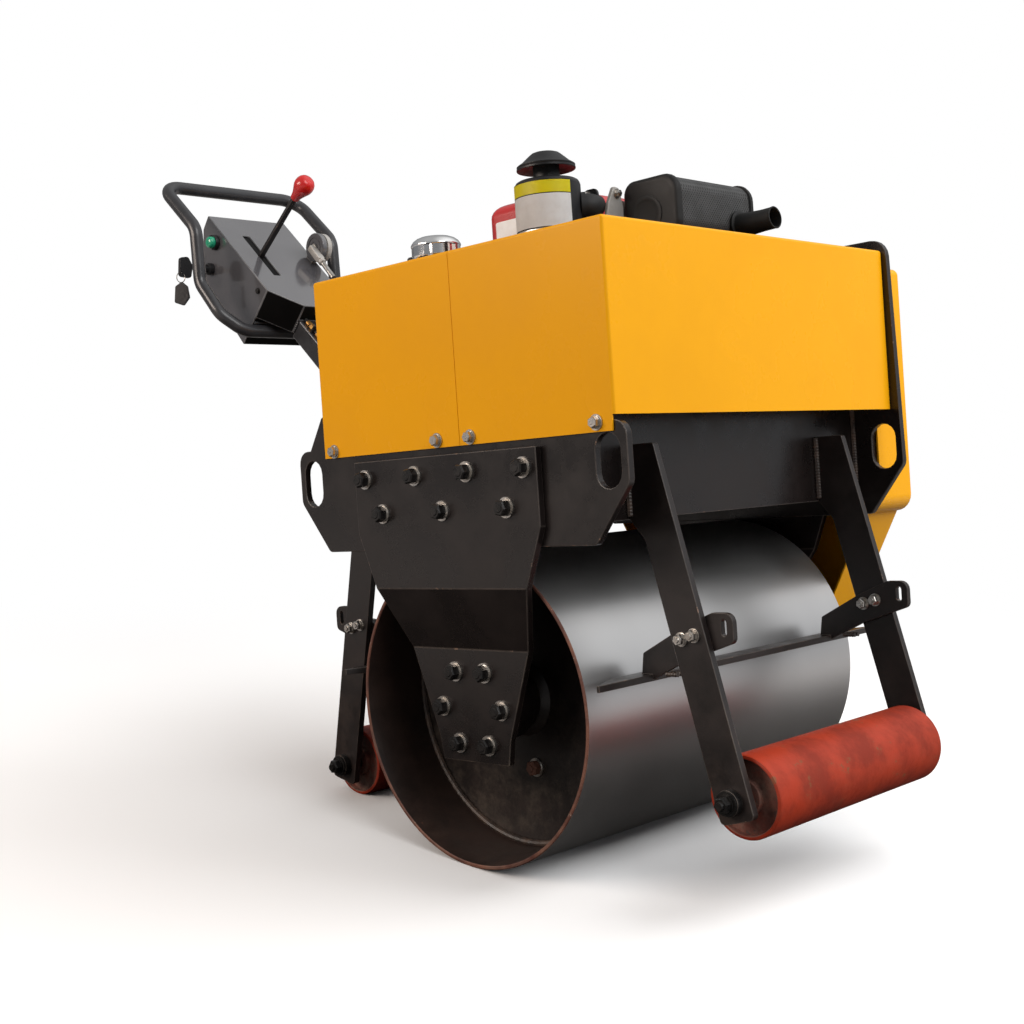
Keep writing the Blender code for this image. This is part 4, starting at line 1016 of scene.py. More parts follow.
def from_tree(name, mesh, tree, values):
    """Runs a tree on a seed mesh and keeps its result as a plain mesh object."""
    seed = bpy.data.objects.new(name + "_seed", mesh)
    bpy.context.scene.collection.objects.link(seed)
    maker = seed.modifiers.new("maker", "NODES")
    maker.node_group = tree
    for item in tree.interface.items_tree:
        if item.in_out == "INPUT" and item.name in values:
            maker[item.identifier] = values[item.name]
    graph = bpy.context.evaluated_depsgraph_get()
    made = bpy.data.meshes.new_from_object(seed.evaluated_get(graph), depsgraph=graph)
    made.name = name
    bpy.data.objects.remove(seed)
    return made


# Body, head finish, washer finish and slot, then each part's radius and height as in BOLT_SIZES
BOLTS = {
    "hood_bolts": (
        "chassis", "zinc", "zinc", "zinc", 0.0085, 0.007, 0.0115, 0.002, 0.009, 0.002, 0.003, 0.0005
    ),
    "guard_bolts": (
        "chassis", "zinc", "zinc", "zinc", 0.0085, 0.007, 0.012, 0.002, 0.009, 0.002, 0.003, 0.0005
    ),
    "carrier_bolts": (
        "chassis", "black_bolt", "zinc", "frame_black", 0.0128, 0.013, 0.0158, 0.0025, 0.0130, 0.002,
        0.007, 0.001
    ),
    "scraper_bolts": (
        "chassis", "zinc", "zinc", "zinc", 0.0085, 0.0075, 0.0105, 0.0022, 0.0092, 0.0025, 0.0045, 0.002
    ),
    "axle_nuts": (
        "chassis", "black_bolt", "black_bolt", "zinc", 0.0125, 0.010, 0.0175, 0.003, 0.0135, 0.003,
        0.007, 0.004
    ),
    "mount_bolts": (
        "chassis", "black_bolt", "zinc", "frame_black", 0.009, 0.0075, 0.0115, 0.002, 0.0098, 0.0025,
        0.005, 0.002
    ),
    "drum_oil_plugs": (
        "drum", "rust", "zinc", "zinc", 0.0125, 0.010, 0.015, 0.003, 0.0135, 0.002, 0.006, 0.002
    ),
    "engine_bolts": (
        "chassis", "zinc", "zinc", "zinc", 0.0068, 0.006, 0.009, 0.0016, 0.0075, 0.001, 0.003, 0.0005
    ),
    "rocker_bolts": (
        "chassis", "zinc", "zinc", "zinc", 0.0060, 0.0055, 0.0075, 0.0015, 0.0065, 0.0012, 0.003, 0.0005
    ),
    "console_screws": (
        "handle", "black_bolt", "black_bolt", "matte_black", 0.0055, 0.003, 0.0065, 0.001, 0.0055,
        0.0008, 0.002, 0.0003
    ),
}


def hardware(name, places):
    """Bolts or nuts with washers. places are (point, way out) in the machine's frame."""
    body, head, washer, slot, *sizes = BOLTS[name]
    mesh = bpy.data.meshes.new(name + "_points")
    mesh.from_pydata([MACHINE @ Vector(place) for place, _ in places], [], [])
    facing = mesh.attributes.new("facing", "FLOAT_VECTOR", "POINT")
    for item, (_, way) in zip(facing.data, places):
        item.vector = TURN @ Vector(way)
    values = dict(zip(BOLT_SIZES, sizes)) | {"Head Finish": F[head], "Washer Finish": F[washer]}
    made = bpy.data.objects.new(name, from_tree(name, mesh, HARDWARE, values))
    bpy.context.scene.collection.objects.link(made)
    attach(made, body)


def fin_row(start, count, step, size):
    """A row of fins as a bmesh in the machine's frame, to go into an engine casting."""
    mesh = bpy.data.meshes.new("fin_start")
    mesh.from_pydata([start], [], [])
    values = {"Count": count, "Step": step, "Size": size, "Finish": F["alloy"]}
    made = from_tree("fin_row", mesh, FINS, values)
    shape = bmesh.new()
    shape.from_mesh(made)
    bpy.data.meshes.remove(made)
    return shape


# ---------------------------------------------------------------- sizes drawn on the frame

SHEET = 0.003
HOOD_RIGHT = -0.3673
HOOD_LEFT = 0.3667
HOOD_FRONT = 0.351
HOOD_REAR = -0.295
HOOD_SPLIT = 0.040
HOOD_TOP = 0.954
HOOD_SIDE_BOTTOM = 0.6575
HOOD_FRONT_BOTTOM = 0.680
HOOD_REAR_BOTTOM = 0.732
HOOD_FLANGE = 0.018
HOOD_RETURN = 0.020
HOOD_BEND = 0.005

GUARD_INNER = 0.3796
GUARD_OUTER = 0.4876
GUARD_HALF_WIDTH = 0.314
GUARD_TOP = 0.935
GUARD_SHOULDER = 0.500
GUARD_FOOT_RADIUS = 0.130

RIGHT_PLATE_OUTER = -0.364
LEFT_PLATE_OUTER = 0.3793
PLATE = 0.012
LEG_Y = 0.250
ENGINE_TOP = 0.955

# ---------------------------------------------------------------- hood and guard


def folded_sheet(corners, bottoms):
    """A sheet wall on a plan path, its top folded inward, with rounded bends.

    bottoms holds the lower edge's height on each straight wall. Inward is to the path's left.
    """
    points = [Vector(corner) for corner in corners]
    rows = []
    for index, here in enumerate(points):
        before = (here - points[index - 1]).normalized() if index else None
        after = (points[index + 1] - here).normalized() if index < len(points) - 1 else None
        if before is None or after is None:
            way = after if before is None else before
            inward = Vector((-way.y, way.x))
            rows.append((here, inward, None, bottoms[min(index, len(bottoms) - 1)]))
            continue
        first, last = Vector((-before.y, before.x)), Vector((-after.y, after.x))
        centre = here + (first + last) * HOOD_BEND
        low, lower = bottoms[index - 1], bottoms[index]
        for step in range(7):
            way = first.slerp(last, step / 6)
            rows.append(
                (centre - way * HOOD_BEND, way, (here, first + last), low if step == 0 else lower)
            )
    made = []
    bend = arc((HOOD_BEND, HOOD_TOP - HOOD_BEND), HOOD_BEND, 180, 90, 5)
    under = arc((HOOD_BEND, HOOD_TOP - HOOD_BEND), HOOD_BEND - SHEET, 90, 180, 5)
    for place, inward, corner, bottom in rows:
        section = [(0, bottom)] + bend + [(HOOD_FLANGE, HOOD_TOP), (HOOD_FLANGE, HOOD_TOP - SHEET)]
        section += under + [(SHEET, bottom)]
        row = []
        for off, height in section:
            at = place + inward * off
            if corner and off > HOOD_BEND:
                at = corner[0] + corner[1] * off
            row.append((at.x, at.y, height))
        made.append(row)
    shape = loft(made)
    bmesh.ops.remove_doubles(shape, verts=shape.verts, dist=1e-6)
    return shape


def make_hood():
    front = folded_sheet(
        [
            (HOOD_SPLIT + 0.0006, HOOD_RIGHT),
            (HOOD_FRONT, HOOD_RIGHT),
            (HOOD_FRONT, HOOD_LEFT),
            (HOOD_FRONT - HOOD_RETURN, HOOD_LEFT),
        ],
        (HOOD_SIDE_BOTTOM, HOOD_FRONT_BOTTOM, HOOD_FRONT_BOTTOM),
    )
    piece("hood_front", front, "yellow", "chassis", ("hood_front_cover",), crease=24)
    rear = folded_sheet(
        [
            (HOOD_REAR + HOOD_RETURN, HOOD_LEFT),
            (HOOD_REAR, HOOD_LEFT),
            (HOOD_REAR, HOOD_RIGHT),
            (HOOD_SPLIT - 0.0006, HOOD_RIGHT),
        ],
        (HOOD_REAR_BOTTOM, HOOD_REAR_BOTTOM, HOOD_SIDE_BOTTOM),
    )
    piece("hood_rear", rear, "yellow", "chassis", ("hood_rear_cover",), crease=24)
    out = (0, -1, 0)
    bolts = [
        ((x, HOOD_RIGHT, z), out)
        for x, z in ((-0.265, 0.668), (-0.010, 0.669), (0.064, 0.669), (0.318, 0.671))
    ]
    hardware("hood_bolts", bolts)


def guard_outline(inset):
    half = GUARD_HALF_WIDTH - inset
    radius = GUARD_FOOT_RADIUS - inset
    top = GUARD_TOP - inset
    reach = hypot(half, GUARD_SHOULDER - DRUM_AXIS_Z)
    lift = degrees(atan2(GUARD_SHOULDER - DRUM_AXIS_Z, half) - acos(radius / reach))
    foot = arc((0, DRUM_AXIS_Z), radius, lift, -180 - lift, 40)
    corners = [(-half, GUARD_SHOULDER), (-half, top), (half, top), (half, GUARD_SHOULDER)]
    return rounded(corners, (0.03, 0.012, 0.012, 0.03), 6) + foot


def make_guard():
    bend = 0.007
    rows = [(0, GUARD_INNER), (0, GUARD_OUTER - bend)]
    rows += [(bend * (1 - cos(a)), GUARD_OUTER - bend * (1 - sin(a))) for a in (0.4, 0.8, 1.2)]
    rows += [(bend, GUARD_OUTER)]
    skin = [[(x, y, z) for x, z in guard_outline(inset)] for inset, y in rows]
    lining = [
        [(x, y, z) for x, z in guard_outline(SHEET + extra)]
        for extra, y in ((bend, GUARD_OUTER - SHEET), (0, GUARD_OUTER - bend), (0, GUARD_INNER))
    ]
    shape = loft(skin + lining, caps=False)
    verts = list(shape.verts)
    count = len(skin[0])
    shape.faces.new(verts[count * (len(skin) - 1) : count * len(skin)])
    shape.faces.new(verts[count * len(skin) : count * (len(skin) + 1)])
    shape.verts.index_update()
    between = [
        face
        for face in shape.faces
        if {vert.index // count for vert in face.verts} == {len(skin) - 1, len(skin)}
    ]
    bmesh.ops.delete(shape, geom=between, context="FACES_ONLY")
    shape.verts.ensure_lookup_table()
    last = count * (len(skin) + len(lining) - 1)
    for i in range(count):
        j = (i + 1) % count
        shape.faces.new([shape.verts[k] for k in (i, j, last + j, last + i)])
    piece("belt_guard_shell", shape, "yellow", "chassis", ("belt_guard",), crease=24)
    spots = [(-0.275, 0.895), (0.275, 0.895), (-0.275, 0.560), (0.275, 0.560), (0, 0.160)]
    hardware("guard_bolts", [((x, GUARD_OUTER, z), (0, 1, 0)) for x, z in spots])


# ---------------------------------------------------------------- chassis


def make_chassis():
    for node in ("side_plate_right", "side_plate_left", "front_cross_beam", "rear_cross_beam"):
        softened(node, "frame frame_edge", 0.0014)
    softened("engine_deck", "frame frame_edge", 0.001)
    softened("handle_mount", "frame frame_edge", 0.001)
    for hand in ("right", "left"):
        softened(f"drum_carrier_{hand}", "frame frame_edge", 0.0014, crease=8, bend=12)
        for place in ("front", "rear"):
            softened(f"leg_{place}_{hand}", "leg frame_edge", 0.0012)
    for place in ("front", "rear"):
        softened(f"{place}_scraper", "leg frame_edge", 0.001)

    beads = []
    for end in (1, -1):
        for side in (-1, 1):
            for face in (-1, 1):
                y = side * LEG_Y + face * (PLATE / 2 + 0.001)
                beads.append(bead((end * 0.2745, y, 0.535), (end * 0.2745, y, 0.638), 0.0042))
        for y in (RIGHT_PLATE_OUTER + PLATE + 0.002, LEFT_PLATE_OUTER - PLATE - 0.002):
            beads.append(bead((end * 0.2735, y, 0.532), (end * 0.2735, y, 0.69), 0.0042))
            beads.append(bead((end * 0.259, y, 0.632), (end * 0.10, y, 0.632), 0.004))
        middle = 0.318 * end
        for side in (-1, 1):
            for face in (-1, 1):
                y = side * (LEG_Y - PLATE / 2 - 0.0055) + face * 0.0055
                beads.append(bead((middle * 0.98, y, 0.3035), (middle * 1.05, y, 0.3035), 0.003))
    piece("frame_welds", together(*beads), "weld", "chassis", slot="frame_black", weigh=False)

    carrier = []
    for side, upper, lower in ((-1, -0.3763, -0.341), (1, 0.3916, 0.341)):
        out = (0, side, 0)
        places = [(-0.179, 0.617), (-0.059, 0.617), (0.059, 0.617), (0.179, 0.617)]
        places += [(-0.140, 0.560), (0.0, 0.560), (0.140, 0.560)]
        carrier += [((x, upper, z), out) for x, z in places]
        for x, z in arc((0, DRUM_AXIS_Z), 0.065, 0, 300, 5):
            carrier.append(((x, lower, z), out))
    hardware("carrier_bolts", carrier)

    blade = []
    for end, lean in ((1, tan(radians(14.4))), (-1, tan(radians(13.3)))):
        foot = FRONT_AXLE if end == 1 else REAR_AXLE
        for rise in (-0.012, 0.012):
            z = 0.360 + rise * 0.25
            x = end * (abs(foot.x) - lean * (z - foot.y)) + rise
            for side in (-1, 1):
                blade.append(((x, side * (LEG_Y + PLATE / 2), z), (0, side, 0)))
                blade.append(((x, side * (LEG_Y - PLATE / 2 - 0.0106), z), (0, -side, 0)))
    hardware("scraper_bolts", blade)

    axle = []
    for foot in (FRONT_AXLE, REAR_AXLE):
        for side in (-1, 1):
            axle.append(((foot.x, side * (LEG_Y + PLATE / 2 + 0.0123), foot.y), (0, side, 0)))
    hardware("axle_nuts", axle)

    mount = [((-0.2843, y, z), (-1, 0, 0)) for y in (-0.058, 0.058) for z in (0.552, 0.634)]
    hardware("mount_bolts", mount)

    for node in ("bearing_housing_right", "bearing_housing_left"):
        softened(node, "frame frame_edge", 0.001, crease=30)
    for node in ("front_roller_shaft", "rear_roller_shaft", "handle_pin"):
        softened(node, "black_bolt frame_edge", 0.0008, crease=30)


# ---------------------------------------------------------------- drum and rollers


def make_drum():
    outer, edge, inner, half = 0.2497, 0.2435, 0.238, 0.350
    ease = 0.0014
    profile = [
        (outer, -half + ease), (outer, half - ease), (outer - ease, half), (edge + ease, half),
        (edge, half - ease), (inner, half - 0.030), (inner, -half + 0.030), (edge, -half + ease),
        (edge + ease, -half), (outer - ease, -half), (outer, -half + ease),
    ]
    shape = moved(turned(profile, 216, marks=[0, 1, 1, 1, 2, 2, 2, 1, 1, 1]), (0, 0, DRUM_AXIS_Z))
    piece("drum_skin", shape, "steel rust inside", "drum", ("drum_shell",), crease=28)
    for side, hand in ((-1, "right"), (1, "left")):
        profile = [
            (0, 0.218), (0.2372, 0.218), (0.2372, 0.230), (0.062, 0.230), (0.056, 0.236),
            (0.050, 0.240),
            (0.050, 0.255), (0.049, 0.256), (0.022, 0.256), (0.022, 0.3055), (0.0215, 0.306),
            (0, 0.306),
        ]
        head = turned([(radius, side * along) for radius, along in profile], 96)
        ring = [
            (0.2345 * sin(a), side * 0.2325, 0.2345 * cos(a))
            for a in (2 * pi * i / 300 for i in range(300))
        ]
        weld = pipe(ring, 0.0042, 8, closed=True, swell=ripple(0.28, 0.0074))
        shape = moved(together(head, painted(weld, 1)), (0, 0, DRUM_AXIS_Z))
        piece(f"drum_head_{hand}", shape, "disc weld", "drum", (f"drum_disc_{hand}",), crease=30)
    plugs = [((0.023, side * 0.230, 0.139), (0, side, 0)) for side in (-1, 1)]
    hardware("drum_oil_plugs", plugs)


def make_rollers():
    for name, axle in (("front_roller", FRONT_AXLE), ("rear_roller", REAR_AXLE)):
        outer, half, rim, hub = 0.06091, 0.226, 0.0545, 0.026
        side = [
            (0.0131, half - 0.001), (0.0135, half), (hub - 0.001, half), (hub, half - 0.001),
            (hub, half - 0.010), (rim, half - 0.010), (rim, half - 0.001), (rim + 0.001, half),
            (outer - 0.004, half), (outer - 0.0012, half - 0.0012), (outer, half - 0.004),
        ]
        profile = side + [(radius, -along) for radius, along in side[::-1]] + [side[0]]
        worn = 8  # bands at each end with the end's finish
        marks = [1] * worn + [0] * (len(profile) - 1 - 2 * worn) + [1] * worn
        shape = moved(turned(profile, 96, marks=marks), (axle.x, 0, axle.y))
        piece(f"{name}_tube", shape, "oxide oxide_end", name, (name,), crease=28)


make_hood()
make_guard()
make_chassis()
make_drum()
make_rollers()


# ---------------------------------------------------------------- engine and tanks


def bar(start, end, width, depth, edge=0.001, across=(0, 1, 0)):
    """A flat bar between two points, with its wider side across the given way."""
    start, end, across = Vector(start), Vector(end), Vector(across)
    way = (end - start).normalized()
    across = (across - way * across.dot(way)).normalized()
    flat = way.cross(across)
    shape = box((-width / 2, -depth / 2, 0), (width / 2, depth / 2, (end - start).length), edge)
    frame_axes = Matrix((across, flat, way)).transposed().to_4x4()
    bmesh.ops.transform(shape, matrix=Matrix.Translation(start) @ frame_axes, verts=shape.verts)
    return shape


def disc(profile, place, way, facets=48, marks=None):
    """A turned shape whose axis starts at a place and points along a way."""
    return moved(turned(profile, facets, "Z", marks), place, way)


def label_patch(centre, radius, start, end, levels, marks):
    """A thin label wrapped round an upright can, in level bands with a finish each."""
    shape = bmesh.new()
    rows = []
    for z in levels:
        ring = []
        for step in range(41):
            angle = radians(start + (end - start) * step / 40)
            ring.append(
                shape.verts.new((centre[0] + radius * cos(angle), centre[1] + radius * sin(angle), z))
            )
        rows.append(ring)
    for mark, (low, high) in zip(marks, zip(rows, rows[1:])):
        for i in range(40):
            shape.faces.new((low[i], low[i + 1], high[i + 1], high[i])).material_index = mark
    bmesh.ops.solidify(shape, geom=shape.faces[:], thickness=-0.0004)
    return ordered(shape)


def make_engine():
    rim = [
        (0, 0), (0.118, 0), (0.125, 0.006), (0.125, 0.058), (0.119, 0.064), (0.104, 0.065),
        (0.100, 0.060), (0.040, 0.060), (0.036, 0.0645), (0, 0.0645)
    ]
    cast = [
        box((-0.085, -0.150, 0.640), (0.165, 0.118, 0.790), 0.014, 3),
        box((-0.060, 0.118, 0.652), (0.140, 0.160, 0.800), 0.012, 3),
        disc(
            [(0, 0), (0.055, 0), (0.055, 0.010), (0.030, 0.014), (0, 0.014)], (0.040, 0.160, 0.735),
            (0, 1, 0)
        ),
        box((0.050, -0.095, 0.780), (0.170, 0.070, 0.905), 0.006),
        fin_row((0.110, -0.0125, 0.806), 9, (0, 0, 0.0105), (0.150, 0.195, 0.0028)),
        box((0.046, -0.098, 0.905), (0.176, 0.078, 0.9545), 0.008, 3),
        fin_row((0.178, -0.085, 0.930), 11, (0, 0.0155, 0), (0.020, 0.0030, 0.040)),
        box((-0.100, -0.135, 0.6303), (-0.040, 0.105, 0.642), 0.002),
        box((0.110, -0.135, 0.6303), (0.175, 0.105, 0.642), 0.002),
        disc(
            [(0, 0), (0.034, 0), (0.036, 0.002), (0.036, 0.100), (0.030, 0.106), (0, 0.106)],
            (0.183, -0.130, 0.705), (0, 1, 0), 40
        ),
        disc(
            [(0, 0), (0.021, 0), (0.021, 0.070), (0.016, 0.075), (0, 0.075)], (0.190, -0.118, 0.760),
            (0, 1, 0), 32
        ),
        disc(
            [(0, 0), (0.016, 0), (0.016, 0.012), (0.010, 0.016), (0.010, 0.040), (0, 0.040)],
            (-0.060, -0.120, 0.790), (0, 0, 1), 24
        ),
    ]
    black = [
        disc(rim, (0.030, -0.150, 0.775), (0, -1, 0), 72),
        fin_row((0.030, -0.2105, 0.690), 15, (0, 0, 0.0122), (0.150, 0.004, 0.0035)),
        box((-0.070, -0.212, 0.870), (0.150, -0.100, 0.9545), 0.018, 4),
        disc(
            [(0, 0), (0.020, 0), (0.022, 0.003), (0.022, 0.014), (0.012, 0.018), (0, 0.018)],
            (-0.060, -0.120, 0.830), (0, 0, 1), 28
        ),
        box((-0.112, 0.020, 0.845), (-0.070, 0.150, 0.9545), 0.004),
        box((-0.112, -0.085, 0.845), (0.045, -0.060, 0.9545), 0.003),
        disc(
            [(0, 0), (0.024, 0), (0.026, 0.003), (0.026, 0.050), (0.020, 0.056), (0, 0.056)],
            (0.150, 0.120, 0.845), (0, 0, 1), 32
        ),
        box((-0.115, -0.160, 0.6303), (0.190, -0.140, 0.640), 0.002),
        box((-0.115, 0.110, 0.6303), (0.190, 0.130, 0.640), 0.002),
    ]
    casting = together(*cast, *(painted(shape, 1) for shape in black))
    piece("engine_assembly", casting, "alloy plastic", "chassis", ("engine",), crease=30)
    bolts = [
        ((x, -0.1505, z), (0, -1, 0)) for x, z in ((-0.072, 0.655), (-0.072, 0.775), (0.152, 0.655))
    ]
    bolts += [((x, 0.160, z), (0, 1, 0)) for x in (-0.048, 0.128) for z in (0.664, 0.725, 0.788)]
    bolts += [((x, 0.066, 0.9545), (0, 0, 1)) for x in (0.056, 0.166)]
    bolts += [((x, y, 0.642), (0, 0, 1)) for x in (-0.092, 0.166) for y in (-0.150, 0.120)]
    hardware("engine_bolts", bolts)


def make_engine_tops():
    x, y = 0.060, -0.155
    base, top, can = 0.9553, 1.076, 0.0535
    profile = [
        (0, base), (0.043, base), (0.0475, base + 0.003), (0.0475, base + 0.029), (0.052, base + 0.031),
        (can, base + 0.034), (can, top - 0.009), (0.0525, top - 0.0055), (0.0505, top - 0.002),
        (0.047, top), (0.030, top + 0.0005), (0.0235, top + 0.002), (0.0215, top + 0.005),
        (0.0215, top + 0.024), (0, top + 0.024),
    ]
    can_shape = moved(turned(profile, 72, "Z"), (x, y, 0))
    band = moved(
        turned(
            [
                (can + 0.0006, base + 0.033), (can + 0.0016, base + 0.034),
                (can + 0.0016, base + 0.0375), (can + 0.0006, base + 0.0385)
            ],
            72, "Z"
        ),
        (x, y, 0)
    )
    piece(
        "air_cleaner_can", together(can_shape, painted(band, 1)), "plastic zinc", "chassis",
        ("air_cleaner",), crease=34
    )
    levels = (0.9945, 0.9957, 1.0475, 1.0490, 1.0685, 1.0697)
    patch = label_patch((x, y), can + 0.0003, -152, -5, levels, (2, 0, 2, 1, 2))
    piece(
        "air_cleaner_label", patch, "label_white label_yellow plastic", "chassis", slot="matte_black",
        crease=40
    )

    low = top + 0.0243
    hat = [
        (0, low + 0.001), (0.030, low + 0.001), (0.034, low - 0.001), (0.0462, low - 0.0062),
        (0.0478, low - 0.0055), (0.0478, low - 0.0035), (0.0466, low - 0.0022), (0.0474, low - 0.0012),
        (0.0474, low + 0.0004), (0.0450, low + 0.0022), (0.0400, low + 0.0052), (0.0330, low + 0.0115),
        (0.0265, low + 0.0172), (0.0225, low + 0.0203), (0.0185, low + 0.0217), (0, low + 0.022),
    ]
    lip = [
        (0.0440, low - 0.0035), (0.0474, low - 0.0048), (0.0474, low - 0.0062), (0.0440, low - 0.0050)
    ]
    shape = together(moved(turned(hat, 72, "Z"), (x, y, 0)), moved(turned(lip, 72, "Z"), (x, y, 0)))
    piece("precleaner_hat", shape, "plastic", "chassis", ("precleaner_cap",), crease=40)

    way = Vector((0.7071, 0.7071, 0))
    port = Vector((x, y, 1.034))
    path = fillet_path(
        [port + way * (can - 0.002), port + way * (can + 0.014), Vector((0.104, -0.090, 1.034))], 0.010
    )
    boot = pipe(path, 0.0185, 32)
    rings = [pipe([port + way * (can - 0.001), port + way * (can + 0.006)], 0.0215, 32)]
    ear = plate(
        [
            rounded(
                [(0.087, 1.030), (0.118, 1.030), (0.118, 1.061), (0.087, 1.061)],
                (0.002, 0.002, 0.010, 0.010), 5
            )
        ],
        -0.101, -0.096, edge=0.001
    )
    piece(
        "intake_boot", together(boot, ear, *rings), "rubber plastic", "chassis", ("intake_elbow",),
        crease=40
    )

    cover = box((0.068, -0.094, base), (0.1222, -0.010, 1.020), 0.008, 4)
    rib = [
        box((0.0665, -0.092, 0.966 + 0.011 * k), (0.1235, -0.012, 0.9685 + 0.011 * k), 0.0008)
        for k in range(5)
    ]
    fins = [
        box((0.090, -0.048 + 0.007 * k, 1.018), (0.120, -0.0455 + 0.007 * k, 1.045), 0.0006)
        for k in range(4)
    ]
    outline = [
        (-0.094, 1.008), (-0.052, 1.008), (-0.050, 1.030), (-0.058, 1.062), (-0.072, 1.064),
        (-0.088, 1.034)
    ]
    bracket = plate(
        [rounded(outline, (0.002, 0.002, 0.004, 0.006, 0.006, 0.004), 4)], 0.1222, 0.1290, "X", 0.0012
    )
    piece(
        "rocker_casting", together(cover, bracket, *rib, *fins), "alloy alloy", "chassis",
        ("rocker_cover",), crease=30
    )
    spots = [
        ((0.080, -0.078, 1.020), (0, 0, 1)), ((0.080, -0.024, 1.020), (0, 0, 1)),
        ((0.0965, -0.101, 1.052), (0, -1, 0)), ((0.1290, -0.066, 1.052), (1, 0, 0))
    ]
    hardware("rocker_bolts", spots)


def make_exhaust():
    low = Vector((0.123, -0.045, 0.972))
    high = low + Vector((0.112, 0.212, 0.100))

    def section(inset, y):
        corners = [
            (low.x + inset, low.z + inset), (high.x - inset, low.z + inset),
            (high.x - inset, high.z - inset), (low.x + inset, high.z - inset)
        ]
        return [(x, y, z) for x, z in rounded(corners, (0.020, 0.024, 0.030, 0.022), 7)]

    ends = []
    for y, way in ((low.y, 1), (high.y, -1)):
        steps = [
            (0.009, 0), (0.0035, 0.0012), (0.001, 0.004), (0.0, 0.008), (0.0, 0.0125), (0.0022, 0.0138),
            (0.0022, 0.016)
        ]
        ends.append(loft([section(inset, y + way * off) for inset, off in steps]))
    shell = loft([section(0.0022, y) for y in (low.y + 0.0135, low.y + 0.09, high.y - 0.0135)])
    dish = disc(
        [
            (0.031, -0.0002), (0.031, 0.0014), (0.028, 0.0026), (0.023, 0.0018), (0.020, 0.0005),
            (0.0, 0.0002)
        ],
        (0.172, low.y, 1.012), (0, -1, 0), 56
    )
    foot = disc(
        [(0, 0), (0.028, 0), (0.028, 0.005), (0.020, 0.007), (0.020, 0.026), (0, 0.026)],
        (0.179, 0.050, 0.9553), (0, 0, 1), 40
    )
    piece(
        "muffler_box", together(*ends, painted(shell, 1), dish, foot), "exhaust screen", "chassis",
        ("muffler",), crease=36
    )

    start = Vector((0.2353, 0.118, 0.997))
    path = [
        start + Vector((-0.004 + 0.0744 * step / 16, 0, 0.002 * (step / 16) ** 2 - 0.001))
        for step in range(17)
    ]
    outer = pipe(path, 0.0178, 40, swell=lambda run: 1.0 + 0.16 * max(0.0, 1 - run / 0.05))
    flange = disc(
        [(0, 0), (0.0235, 0), (0.0245, 0.001), (0.0245, 0.003), (0.0205, 0.005), (0, 0.005)],
        (0.2345, 0.118, 0.997), (1, 0, 0), 40
    )
    tip = path[-1]
    mouth = disc(
        [
            (0.0178, -0.003), (0.0184, 0.0), (0.0176, 0.0008), (0.0160, 0.0004), (0.0155, -0.004),
            (0.0155, -0.030), (0, -0.030)
        ],
        tip, (1, 0, 0.06), 40
    )
    faces = [face for face in outer.faces if len(face.verts) > 8 and face.calc_center_median().x > 0.3]
    bmesh.ops.delete(outer, geom=faces, context="FACES_ONLY")
    piece("tail_pipe", together(outer, flange, mouth), "exhaust", "chassis", ("tailpipe",), crease=40)


